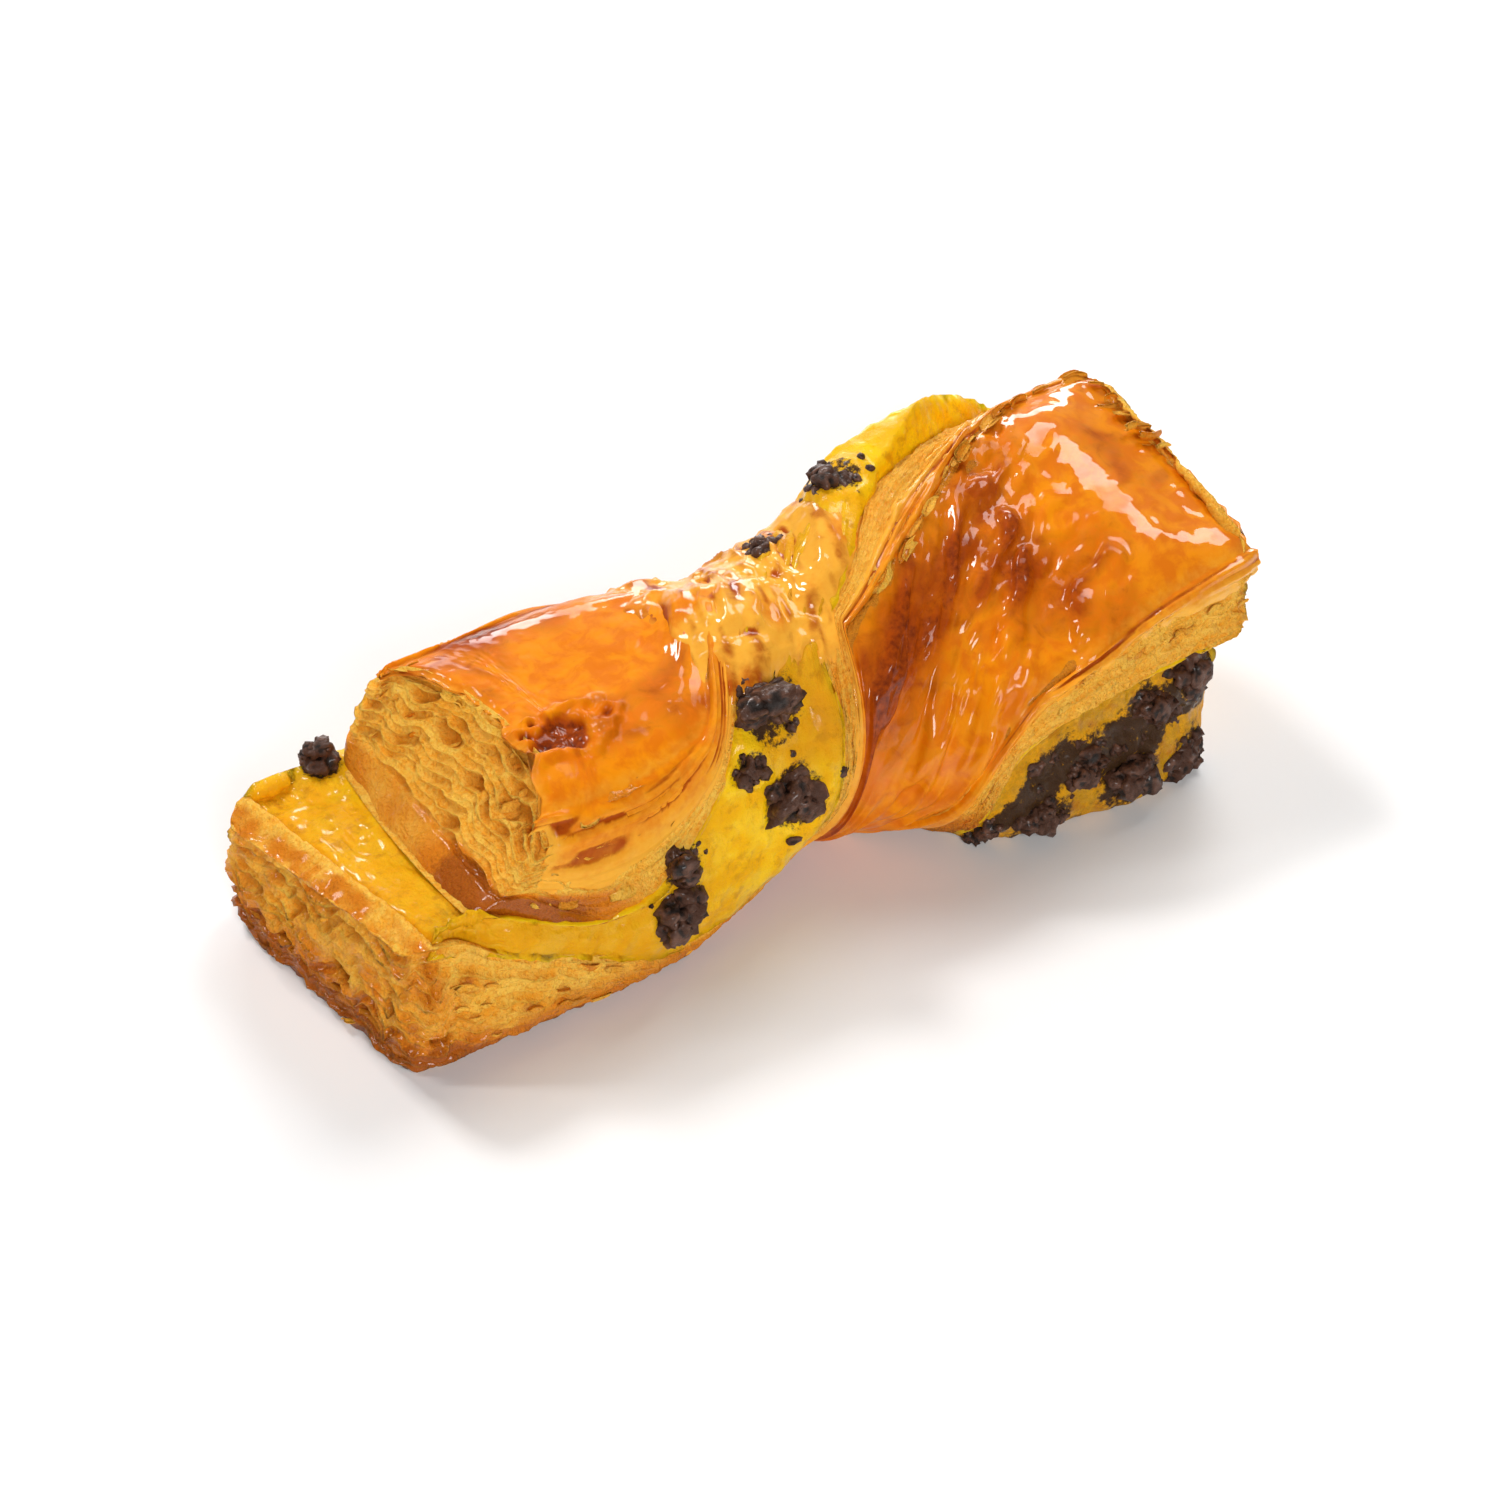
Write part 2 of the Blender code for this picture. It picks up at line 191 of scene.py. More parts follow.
def lattice(cells, seed):  # a fixed value from -1 to 1 for each whole-number cell
    h = cells[..., 0] * 73856093 ^ cells[..., 1] * 19349663 ^ cells[..., 2] * 83492791 ^ (seed * 374761393)
    h = (h ^ (h >> 13)) * 1274126177 & 0xffffffff
    h = (h ^ (h >> 15)) * 668265263 & 0xffffffff
    return ((h ^ (h >> 16)) & 0xffff) / 32767.5 - 1


def noise(points, seed=0):  # smooth noise from -1 to 1, blended between the corners of unit cells
    low = np.floor(points).astype(np.int64)
    f = points - low
    f = f * f * (3 - 2 * f)
    total = 0
    for corner in np.ndindex(2, 2, 2):
        weight = np.prod([f[..., k] if corner[k] else 1 - f[..., k] for k in range(3)], axis=0)
        total = total + weight * lattice(low + np.array(corner), seed)
    return total


def cloud(points, size, seed=0, octaves=3):  # noise of a size in mm, with finer and weaker copies
    return sum(noise(points / size * 2 ** k, seed + k) / 2 ** k for k in range(octaves)) / 1.6


def ringNoise(turn, across, size, length, seed):  # noise along a closed path, turn in radians round it
    reach = length / (2 * np.pi * size)
    turn, across = np.broadcast_arrays(turn, across)
    return noise(np.stack([np.cos(turn) * reach, np.sin(turn) * reach, across * 1.0], -1), seed)


def normalsOf(points, closedRows=False):  # unit normals of a grid of points
    if closedRows:
        padded = np.concatenate([points[:, -1:], points, points[:, :1]], 1)
        down = (padded[:, 2:] - padded[:, :-2])
    else:
        down = np.gradient(points, axis=1)
    normal = np.cross(np.gradient(points, axis=0), down)
    return normal / (np.linalg.norm(normal, axis=-1, keepdims=True) + 1e-9)


def facing(normals, away):  # the normals, turned round where they point against away on the whole
    return -normals if np.mean(np.sum(away * normals, -1)) < 0 else normals


# Quads of a grid; the first index may close on itself, and so may the second.
def gridQuads(rows, columns, closeRows=False, closeColumns=False):
    i = np.arange(rows if closeRows else rows - 1)[:, None]
    j = np.arange(columns if closeColumns else columns - 1)[None, :]
    n, m = (i + 1) % rows, (j + 1) % columns
    quads = [i * columns + j, n * columns + j, n * columns + m, i * columns + m]
    return np.stack([q + 0 * i + 0 * j for q in quads], -1).reshape(-1, 4)


def makePiece(name, points, faces, tones, material, stands):
    mesh = bpy.data.meshes.new(name)
    flat = (points.reshape(-1, 3) - middle) * mm
    mesh.from_pydata(flat, [], faces)
    tone = mesh.attributes.new("tone", "FLOAT_COLOR", "POINT")
    values = np.concatenate([tones.reshape(-1, 3), np.ones((len(flat), 1))], 1)
    tone.data.foreach_set("color", values.astype(np.float32).ravel())
    mesh.validate()
    mesh.shade_smooth()
    mesh.update()
    piece = bpy.data.objects.new(name, mesh)
    bpy.context.scene.collection.objects.link(piece)
    turnOutward(mesh)
    mesh.materials.append(material)
    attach(piece, "root")
    if stands:
        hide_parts(*stands)
    print(name, len(mesh.polygons), "faces")


class Heap:  # gathers many small closed meshes into one piece
    def __init__(self):
        self.points, self.faces, self.tones, self.count = [], [], [], 0

    def add(self, points, faces, tones):
        self.points.append(points)
        self.faces.append(faces + self.count)
        self.tones.append(tones)
        self.count += len(points)

    def make(self, name, material, stands):
        points, faces, tones = (np.concatenate(part) for part in (self.points, self.faces, self.tones))
        makePiece(name, points, faces.tolist(), tones, material, stands)


def turnOutward(mesh):  # flips a closed mesh whose signed volume is negative
    mesh.calc_loop_triangles()
    corners = np.empty(len(mesh.loop_triangles) * 3, np.int32)
    mesh.loop_triangles.foreach_get("vertices", corners)
    co = np.empty(len(mesh.vertices) * 3, np.float32)
    mesh.vertices.foreach_get("co", co)
    a, b, c = np.moveaxis(co.reshape(-1, 3)[corners.reshape(-1, 3)].astype(float), 1, 0)
    if np.einsum("ij,ij->i", a, np.cross(b, c)).sum() < 0:
        mesh.flip_normals()


class Socket:  # wraps a node's output so that shader maths reads as Python
    def __init__(self, tree, output):
        self.tree, self.output = tree, output

    def node(self, kind, settings=None, **inputs):
        return addNode(self.tree, kind, settings, inputs)

    def maths(self, operation, *others):
        return self.node("ShaderNodeMath", {"operation": operation},
                         **{f"n{k}": value for k, value in enumerate([self, *others])})

    def __add__(self, other):
        return self.maths("ADD", other)

    def __sub__(self, other):
        return self.maths("SUBTRACT", other)

    def __rsub__(self, other):
        return self.node("ShaderNodeMath", {"operation": "SUBTRACT"}, n0=other, n1=self)

    def __mul__(self, other):
        return self.maths("MULTIPLY", other)

    __radd__ = __add__
    __rmul__ = __mul__

    def between(self, low, high):  # 0 below low, 1 above high, softly
        return self.node("ShaderNodeMapRange", {"interpolation_type": "SMOOTHSTEP"},
                         **{"Value": self, "From Min": low, "From Max": high})


# Adds one node: settings are set first, then its sockets, by name or, as n0, n1 and so on, by place.
def addNode(tree, kind, settings, inputs, output=0):
    made = tree.nodes.new(kind)
    for name, value in (settings or {}).items():
        setattr(made, name, value)
    for name, value in inputs.items():
        target = made.inputs[int(name[1:])] if name[0] == "n" and name[1:].isdigit() else made.inputs[name]
        if isinstance(value, Socket):
            tree.links.new(value.output, target)
        else:
            target.default_value = value
    return Socket(tree, made.outputs[output])


class Surface:  # a material under construction: its Principled shader, its places and its tone masks
    def __init__(self, name, **constants):
        self.material = bpy.data.materials.new(name)
        self.material.use_nodes = True
        self.tree = self.material.node_tree
        self.shader = next(n for n in self.tree.nodes if n.type == "BSDF_PRINCIPLED")
        for socket, value in constants.items():
            self.shader.inputs[socket.replace("_", " ")].default_value = value
        self.place = self.node("ShaderNodeTexCoord", output=3)
        tone = self.node("ShaderNodeAttribute", {"attribute_name": "tone"})
        parts = self.node("ShaderNodeSeparateColor", n0=tone).output.node
        self.tones = [Socket(self.tree, parts.outputs[k]) for k in range(3)]

    def node(self, kind, settings=None, output=0, **inputs):
        return addNode(self.tree, kind, settings, inputs, output)

    def grain(self, sizeMm, detail=4.0, rough=0.6, distortion=0.0):  # noise with a size in mm
        spread = self.node("ShaderNodeMapping", Vector=self.place, Scale=(1000 / sizeMm,) * 3)
        return self.node("ShaderNodeTexNoise", n0=spread, Scale=1.0, Detail=detail, Roughness=rough,
                         Distortion=distortion)

    def mix(self, share, first, second):  # colours
        made = self.tree.nodes.new("ShaderNodeMix")
        made.data_type = "RGBA"
        for socket, value in ((made.inputs[0], share), (made.inputs[6], first), (made.inputs[7], second)):
            if isinstance(value, Socket):
                self.tree.links.new(value.output, socket)
            else:
                socket.default_value = (*value, 1) if isinstance(value, tuple) else value
        return Socket(self.tree, made.outputs[2])

    def bump(self, height, distance, strength):  # distance in mm
        return self.node("ShaderNodeBump", Height=height, Distance=distance * mm, Strength=strength)

    def feed(self, **links):
        for socket, value in links.items():
            self.tree.links.new(value.output, self.shader.inputs[socket.replace("_", " ")])


# Torn and cut dough. Tones: how far out a leaf's edge stands, which is painted paler as a highlight, how deep
# a hollow is, which is painted darker as shade, and browning.
crumbLook = {
    "paleLeaf": (0.98, 0.58, 0.090), "leaf": (0.92, 0.39, 0.028), "hollowShade": (0.62, 0.20, 0.007),
    "browned": (0.74, 0.22, 0.008), "burnt": (0.30, 0.055, 0.003),
}


def crumbMaterial():
    look = crumbLook
    s = Surface("flakyCrumb", Specular_IOR_Level=0.07, Coat_IOR=1.38, Coat_Roughness=0.12,
                Subsurface_Weight=0.12, Subsurface_Scale=0.002, Subsurface_Radius=(1.0, 0.45, 0.15))
    ridge, hollowShade, brown = s.tones
    mottle = s.grain(3.0, 5.0)
    fine = s.grain(0.7, 3.0)
    base = s.mix((mottle * 0.5 + fine * 0.5).between(0.38, 0.62), look["leaf"], look["paleLeaf"])
    # painted highlight: the edges of the leaves that stand out are paler
    base = s.mix(ridge.between(0.3, 1.0) * 0.3, base, look["paleLeaf"])
    speckle = s.grain(0.45, 2.0)
    base = s.mix(speckle.between(0.52, 0.72) * 0.5, base, look["browned"])
    base = s.mix((brown * (0.7 + 0.6 * mottle)).between(0.1, 0.85), base, look["browned"])
    # painted shade: the hollows between the leaves are darker
    base = s.mix(hollowShade.between(0.05, 0.8) * 0.8, base, look["hollowShade"])
    # burnt: browning and grain, with painted shade deep in the hollows
    base = s.mix((brown * 0.5 + fine * 0.5 + hollowShade * 0.4).between(0.66, 1.05) * 0.75, base, look["burnt"])
    bumps = s.bump(fine * 0.8 + mottle * 0.7 + speckle * 0.5, 0.75, 1.0)
    glazed = (brown * 0.6 + mottle * 0.6).between(0.45, 0.85) * 0.7
    s.feed(Base_Color=base, Roughness=0.42 + 0.25 * fine, Coat_Weight=glazed, Normal=bumps)
    return s.material


# Egg-washed skin. Tones: gloss, nearness to the rim, and dark patches, which on the neck sheet include
# painted shade in the creases.
skinLook = {
    "bright": (0.85, 0.26, 0.002), "orange": (0.74, 0.175, 0.002), "brown": (0.40, 0.062, 0.001),
    "dark": (0.13, 0.014, 0.001), "rim": (0.93, 0.45, 0.045),
}


def skinMaterial():
    look = skinLook
    s = Surface("glazedSkin", Specular_IOR_Level=0.05, Coat_IOR=1.5, Coat_Roughness=0.05,
                Subsurface_Weight=0.06, Subsurface_Scale=0.0015, Subsurface_Radius=(1.0, 0.35, 0.1))
    gloss, rim, dark = s.tones
    mottle = s.grain(3.2, 4.0, 0.6, distortion=0.5)
    fine = s.grain(0.9, 3.0)
    base = s.mix(mottle.between(0.38, 0.62), look["orange"], look["bright"])
    base = s.mix((rim + (fine - 0.5) * 0.5).between(0.2, 1.0) * 0.95, base, look["rim"])
    base = s.mix((dark + (mottle - 0.5) * 0.9).between(0.30, 0.85), base, look["brown"])
    base = s.mix((dark + (fine - 0.5) * 0.8).between(0.72, 1.25), base, look["dark"])
    patchy = s.grain(7.0, 2.0)
    bumps = s.bump(mottle * 0.8 + fine * 0.3, 0.14, 0.5)
    glaze = ((0.2 + 0.5 * patchy.between(0.4, 0.58)) * gloss).maths("MINIMUM", 1.0)
    s.feed(Base_Color=base, Roughness=0.38 + 0.2 * fine, Coat_Weight=glaze, Normal=bumps)
    return s.material


# Baked custard. Tones: smeared chocolate; baked brown where it is thin, with painted shade on the step and in
# the neck's wrinkles; and how clean the yellow is, which also paints light on the back bulge and shade, as
# olive, on the step and under the right front.
custardLook = {
    "yellow": (1.0, 0.60, 0.002), "deep": (0.92, 0.46, 0.002), "olive": (0.44, 0.215, 0.006),
    "baked": (0.64, 0.22, 0.008), "stain": (0.52, 0.20, 0.004), "smear": (0.055, 0.025, 0.010),
}


def custardMaterial():
    look = custardLook
    s = Surface("bakedCustard", Specular_IOR_Level=0.08, Coat_IOR=1.35, Coat_Roughness=0.1,
                Subsurface_Weight=0.2, Subsurface_Scale=0.003, Subsurface_Radius=(1.0, 0.6, 0.1))
    smear, baked, cleanAndPaintedLight = s.tones
    mottle = s.grain(3.5, 4.0)
    fine = s.grain(0.9, 4.0, 0.7)
    base = s.mix(mottle.between(0.35, 0.65), look["deep"], look["yellow"])
    base = s.mix(baked * (0.6 + 0.6 * mottle), base, look["baked"])
    # olive: random patches, and painted shade where the clean tone is low
    base = s.mix((fine * 0.7 + mottle * 0.5 - 0.25 * cleanAndPaintedLight).between(0.56, 0.9) * 0.75, base, look["olive"])
    stain = s.grain(2.0, 6.0, 0.65)
    # fewer stains where the clean tone is high, so the back bulge also gets painted light here
    base = s.mix(stain.between(0.5, 0.66) * (0.75 - 0.5 * cleanAndPaintedLight), base, look["stain"])
    base = s.mix((smear + (fine - 0.5) * 1.6 + (stain - 0.5) * 0.8).between(0.45, 0.8), base, look["smear"])
    bumps = s.bump(fine * 0.5 + mottle * 0.6 + stain * 0.7, 0.6, 0.8)
    moist = 0.08 + 0.65 * mottle.between(0.42, 0.62)
    s.feed(Base_Color=base, Roughness=0.28 + 0.3 * fine, Coat_Weight=moist, Normal=bumps)
    return s.material


# Baked chocolate: dull and granular with small glossy spots. The first tone is the depth of a lump's folds,
# where shade is painted dark.
chocolateLook = {"crust": (0.070, 0.027, 0.014), "dry": (0.15, 0.062, 0.035), "deep": (0.014, 0.006, 0.003)}


def chocolateMaterial():
    look = chocolateLook
    s = Surface("bakedChocolate", Specular_IOR_Level=0.25, Coat_IOR=1.4, Coat_Roughness=0.2)
    foldShade = s.tones[0]
    coarse, fine = s.grain(1.4, 4.0), s.grain(0.35, 3.0)
    base = s.mix(coarse.between(0.45, 0.7), look["crust"], look["dry"])
    # painted shade: darker in the folds
    base = s.mix(foldShade.between(0.2, 0.9), base, look["deep"])
    bumps = s.bump(coarse * 0.7 + fine * 0.35, 0.45, 0.9)
    spots = coarse.between(0.4, 0.6) * 0.6
    s.feed(Base_Color=base, Roughness=0.35 + 0.4 * fine, Coat_Weight=spots, Normal=bumps)
    return s.material


# The crumb of one dough layer: its whole wall, which goes round the front side, right end, back side and
# left end, closed by rows that shrink to the layer's middle line above and below.
crumbShape = {
    "lower": {"gaps": 13, "sideSamples": 290, "endSamples": 62, "cornerSamples": 9, "corner": 3.0,
              "leftOpen": 0.62, "push": 1.9},
    "upper": {"gaps": 13, "sideSamples": 258, "endSamples": 60, "cornerSamples": 9, "corner": 2.6,
              "leftOpen": 1.0, "push": 0.9},
    "width": 40.0,  # mm across a layer, to turn mm into w
    "lip": 3.2,  # share of the upper layer's smooth lip, in gaps
    "deepest": 2.4,  # mm
    # how far towards the middle line each closing row lies, above and below
    "above": (0.9, 0.6, 0.35, 0.18, 0.08, 0.03),
    "below": (0.012, 0.03, 0.055, 0.08, 0.11, 0.14, 0.165, 0.185, 0.2, 0.215, 0.23, 0.245, 0.26, 0.3, 0.36,
              0.45, 0.7, 0.9),
}
gapSteps = np.array([0, 0.08, 0.22, 0.4, 0.6, 0.78, 0.92])  # rows between two leaves, close at their edges


# The path round a layer in (x, w), starting at the middle of the left end and going along the front first;
# the two halves have the same number of points, so that row k faces row -k across the layer.
def wallPath(layer):
    rules, shape = layers[layer], crumbShape[layer]
    (start, end), r = rules["ends"], shape["corner"]
    width = crumbShape["width"]
    n, e, c = shape["sideSamples"], shape["endSamples"] // 2, shape["cornerSamples"]
    turn = np.linspace(0, np.pi / 2, c + 2)[1:-1]
    halfEnd = np.linspace(0.5, r / width, e)
    x = np.concatenate([start + 0 * halfEnd, start + r - r * np.cos(turn),
                        np.linspace(start + r, end - r, n), end - r + r * np.sin(turn), end + 0 * halfEnd])
    w = np.concatenate([halfEnd, r / width * (1 - np.sin(turn)), np.zeros(n),
                        r / width * (1 - np.cos(turn)), halfEnd[::-1]])
    return np.concatenate([x, x[-2:0:-1]]), np.concatenate([w, 1 - w[-2:0:-1]])


def openness(layer, x):  # how open the leaves stand: most at the torn ends, least where the twist pulls
    start, end = layers[layer]["ends"]
    left, right = 1 - smooth(1, 9, x - start), 1 - smooth(0, 9, end - x)
    atEnd = np.maximum(crumbShape[layer]["leftOpen"] * left, 0.8 * right)
    return np.clip(0.34 + 0.66 * atEnd - 0.22 * hump(x, 2, 26), 0.1, 1)


kerbHeight = 2.5  # mm by which the lower layer's left end stands up round the custard
# Larger holes in the torn ends: x, w, v of the middle, reach along the wall and up it in mm, depth in mm.
holes = {
    "lower": ((-67, 0.36, 0.45, 2.6, 2.0, 3.2), (-63.2, 0.0, 0.36, 2.4, 1.2, 2.4),
              (-67, 0.80, 0.55, 1.6, 1.0, 2.0), (-67, 0.12, 0.62, 1.4, 1.0, 1.8)),
    "upper": ((-50, 0.22, 0.34, 2.6, 1.2, 1.6),),
}


def crumb(layer, material):
    rules, shape = layers[layer], crumbShape[layer]
    seed, gaps = rules["seed"], shape["gaps"]
    start, end = rules["ends"]
    x, w = wallPath(layer)
    count = len(x)
    mid = layerPoint(layer, x, w, 0.5 + 0 * x)
    steps = np.linalg.norm(np.roll(mid, -1, 0) - mid, axis=1)
    length = steps.sum()
    turn = np.cumsum(steps) / length * 2 * np.pi
    opened = openness(layer, x)
    tall = layerPoint(layer, x, w, 1 + 0 * x) - layerPoint(layer, x, w, 0 * x)
    tall = np.linalg.norm(tall, axis=1)
    leftEnd = 1 - smooth(4, 16, x - start)

    # Cells between leaves: each gap is a chain of lens-shaped cells of changing length, few of them wide
    # open. At the upper layer's left end the lowest gap is a thick smooth lip instead.
    weights, cells = [], []
    for i in range(gaps):
        chain = int(length / (5.0 + 4.0 * abs(lattice(np.array([i, 3, 1]), seed))))
        wander = ringNoise(turn, i * 1.7, 16.0, length, seed + 5)
        phase = chain * turn / (2 * np.pi) + 1.6 * wander
        cell = np.floor(phase)
        lens = np.sin(np.pi * (phase - cell)) ** 0.7
        key = np.stack([cell % chain, 0 * cell + i, 0 * cell + 7], -1).astype(np.int64)
        amount = (0.5 + 0.5 * lattice(key, seed)) ** 2.0
        lip = leftEnd if layer == "upper" and i == gaps - 1 else 0
        cells.append(lens * amount * (1 - lip))
        weight = 0.45 + 0.2 * np.abs(wander) + shape["push"] * opened * amount * lens
        weights.append(weight * (1 - lip) + crumbShape["lip"] * lip)
    weights, cells = np.stack(weights, 1), np.stack(cells, 1)
    lines = np.concatenate([np.zeros((count, 1)), np.cumsum(weights, 1)], 1)
    lines = lines / weights.sum(1, keepdims=True)
    span = np.diff(lines, axis=1)
    v = (lines[:, :-1, None] + span[..., None] * gapSteps).reshape(count, -1)
    v = np.concatenate([v, lines[:, -1:]], 1)

    wall = layerPoint(layer, x[:, None], w[:, None], v)
    padded = np.concatenate([wall[-1:], wall, wall[:1]])
    outward = facing(normalsOf(padded)[1:-1], (mid - mid.mean(0))[:, None])

    # Leaves stand proud by their own wavy height; hollows sink between them with steep sides.
    leaf = np.arange(gaps + 1)
    height = 0.05 + 0.42 * ringNoise(turn[:, None], leaf * 3.1, 7.0, length, seed + 21)
    height = height + 0.30 * ringNoise(turn[:, None], leaf * 5.3, 2.0, length, seed + 22)
    height = height * (0.5 + 0.6 * opened[:, None])
    height[:, 0] = -0.45
    height[:, -1] = -0.1
    depth = np.minimum(span * tall[:, None] * 0.85, crumbShape["deepest"])
    depth = depth * (0.2 + 0.8 * cells ** 0.5) * (0.3 + 0.7 * opened)[:, None]
    bowl = 1 - np.abs(2 * gapSteps - 1) ** 4
    lift = height[:, :-1, None] * (1 - gapSteps) + height[:, 1:, None] * gapSteps
    sink = depth[..., None] * bowl
    if layer == "upper":
        swollen = 0.9 * leftEnd[:, None] * np.sqrt(np.clip(bowl, 0, 1))
        sink[:, -1] = sink[:, -1] * (1 - leftEnd[:, None]) - swollen
    lift = np.concatenate([lift.reshape(count, -1), height[:, -1:]], 1)
    sink = np.concatenate([sink.reshape(count, -1), 0 * height[:, -1:]], 1)
    rough = 0.30 * noise(wall / 0.9, seed + 31) + 0.14 * noise(wall / 0.4, seed + 32)
    bready, smoothLip = 0, 0
    if layer == "lower":
        bready = 0.75 * cloud(wall, 3.2, seed + 33) * (1 - smooth(2, 12, x - start))[:, None]
    else:
        smoothLip = leftEnd[:, None] * smooth(0.62, 0.74, v)
    lift = lift + bready + rough * (0.5 + 0.5 * opened[:, None]) * (1 - 0.7 * smoothLip)
    lift = lift + smoothLip * (0.8 * cloud(wall, 6.0, seed + 35, 2) - 0.8 * smooth(0.88, 1.0, v))
    pit = 0 * v
    for hx, hw, hv, reach, up, deep in holes[layer]:
        away = wall - layerPoint(layer, np.array([hx]), np.array([hw]), np.array([hv]))
        distance = np.sqrt((away[..., 0] ** 2 + away[..., 1] ** 2) / reach ** 2 + (away[..., 2] / up) ** 2)
        distance = distance * (1 + 0.25 * noise(wall / 1.6, seed + 51))
        pit = np.maximum(pit, deep * (1 - smooth(0.55, 1.05, distance)))
    sink = np.maximum(sink, pit)
    points = wall + outward * (lift - sink)[..., None]
    if layer == "lower":  # rounds the top edge of the torn end down to meet the step
        points[..., 2] -= 1.5 * smooth(0.72, 1.0, v) * (1 - smooth(0.0, 3.4, x - start))[:, None]

    # At the left end the lower layer stands up round the custard, as high as the step is deep.
    def kerb(inX, inW):
        if layer == "upper":
            return 0 * inX
        across = np.minimum(inW, 1 - inW) * crumbShape["width"]
        inside = np.maximum(1 - smooth(4.3, 4.9, inX - start), 1 - smooth(1.0, 1.9, across))
        thinRim = 0.5 * hump(inX - start, 4.0, 1.1) * (across > 1.5)
        return kerbHeight * (1 - smooth(8, 18, inX - start)) * inside + thinRim

    points[..., 2] += kerb(x, 0 * w)[:, None] * smooth(0.5, 1.0, v)

    # Closing rows: the path shrinks towards the middle line of the layer, just under the skin and along the
    # seam.
    core = np.clip(x, start + 20, end - 20)

    def cap(shares, height, relief):
        shares = np.array(shares)
        inX = x[:, None] + (core - x)[:, None] * shares
        inW = w[:, None] + (0.5 - w)[:, None] * shares
        flat = layerPoint(layer, inX, inW, height + 0 * inX)
        lumps = cloud(flat, 3.0, seed + 41) + 0.4 * noise(flat * 1.5, seed + 42)
        flat[..., 2] += relief * lumps * smooth(0, 0.04, shares)
        if layer == "lower":  # the step at the left end is bready and rounded off
            onStep = relief * (1 - smooth(3.4, 4.4, inX - start))
            edgeDrop = 3.0 * (1 - smooth(0.0, 3.4, inX - start))
            puffs = 1.6 * cloud(flat, 3.4, seed + 43) + 0.5 * np.abs(noise(flat / 1.6, seed + 44))
            flat[..., 2] += onStep * (puffs - edgeDrop) + kerb(inX, inW)
        return flat

    above = cap(crumbShape["above"], 0.13, 0.0)
    below = cap(crumbShape["below"], 1.0, 0.5)
    points = np.concatenate([above, points, below], 1)
    points[..., 2] = np.maximum(points[..., 2], 0)

    # Tones: edge of a leaf, for a painted highlight; depth of a hollow, for painted shade; and browning, most
    # below the glazed rims, at ends and on the tray.
    atFront = (w < 0.5)[:, None]
    xAlong = x[:, None]
    edgeHighlightTone = np.clip(1 - np.abs(sink) / 0.5, 0, 1)
    hollowShadeTone = np.clip(sink / crumbShape["deepest"], 0, 1)
    if layer == "upper":
        brown = 0.75 * (1 - smooth(0.12, 0.6, v)) * (0.25 + 0.75 * smooth(-44, -34, xAlong))
        spots = 0.5 + 0.5 * cloud(wall, 5.0, seed + 36, 3)
        brown = brown + smoothLip * (0.15 + 0.7 * spots)
        # the lip's lower front near the left end, beside the custard, is made much darker
        nose = (1 - smooth(0.05, 0.5, w)) * (1 - smooth(8, 26, x - start))
        brown = brown + 1.6 * smooth(0.64, 0.8, v) * nose[:, None]
        brown = np.maximum(brown, 0.6 * hump(xAlong, -3, 14))
        brown = brown * (1 - 0.6 * smooth(12, 26, xAlong))
    else:
        brown = 0.34 + 0.5 * (1 - smooth(0.0, 0.4, v)) + 0.30 * noise(wall / 3.0, seed + 61)
        brown = brown + 0.7 * smooth(0.25, 0.7, cloud(wall, 2.6, seed + 63))
        brown = brown * (1 - smooth(4, 18, xAlong - start))
        brown = brown + 0.6 * (1 - smooth(0.02, 0.35, v)) * (xAlong < 5)
        brown = brown + 0.28 * smooth(-6, 6, xAlong) * atFront * (1 - 0.5 * smooth(44, 60, xAlong))
        brown = brown + 0.25 * smooth(-6, 6, xAlong) * ~atFront
        brown = brown + 0.9 * (1 - smooth(0, 11, wall[..., 2] + 2.5 * cloud(wall, 5.0, seed + 62)))
    brown = brown + 0.2 * np.clip(lift, 0, 1)
    tones = np.stack([edgeHighlightTone, hollowShadeTone, np.clip(brown, 0, 1.6)], -1)
    ledge = 0.2 + 0 * below[..., 0]
    if layer == "lower":
        ledge = 0.62 + 0.8 * cloud(below, 3.0, seed + 64)
        ledge = ledge * (1 - smooth(2.2, 3.8, below[..., 0] - start + 0.1 * (below[..., 1] - 20)))
    aboveTones = np.zeros(above.shape) + np.array([0, 0.5, 0.6])
    belowTones = np.stack([0.3 + 0 * ledge, 0 * ledge, np.clip(ledge, 0, 1.3)], -1)
    tones = np.concatenate([aboveTones, tones, belowTones], 1)

    columns = points.shape[1]
    quads = gridQuads(count, columns, closeRows=True)
    k = np.arange(1, count // 2 - 1)  # quads across from row k to row -k, and a triangle at each tip
    bridge = np.stack([k, k + 1, count - k - 1, count - k], -1) * columns
    tips = np.array([[0, 1, count - 1], [count // 2, count // 2 + 1, count // 2 - 1]]) * columns
    faces = quads.tolist() + bridge.tolist() + (bridge + columns - 1)[:, ::-1].tolist()
    faces += tips.tolist() + (tips + columns - 1)[:, ::-1].tolist()
    makePiece(f"{layer}Crumb", points, faces, tones, material, [f"dough_{layer}"])


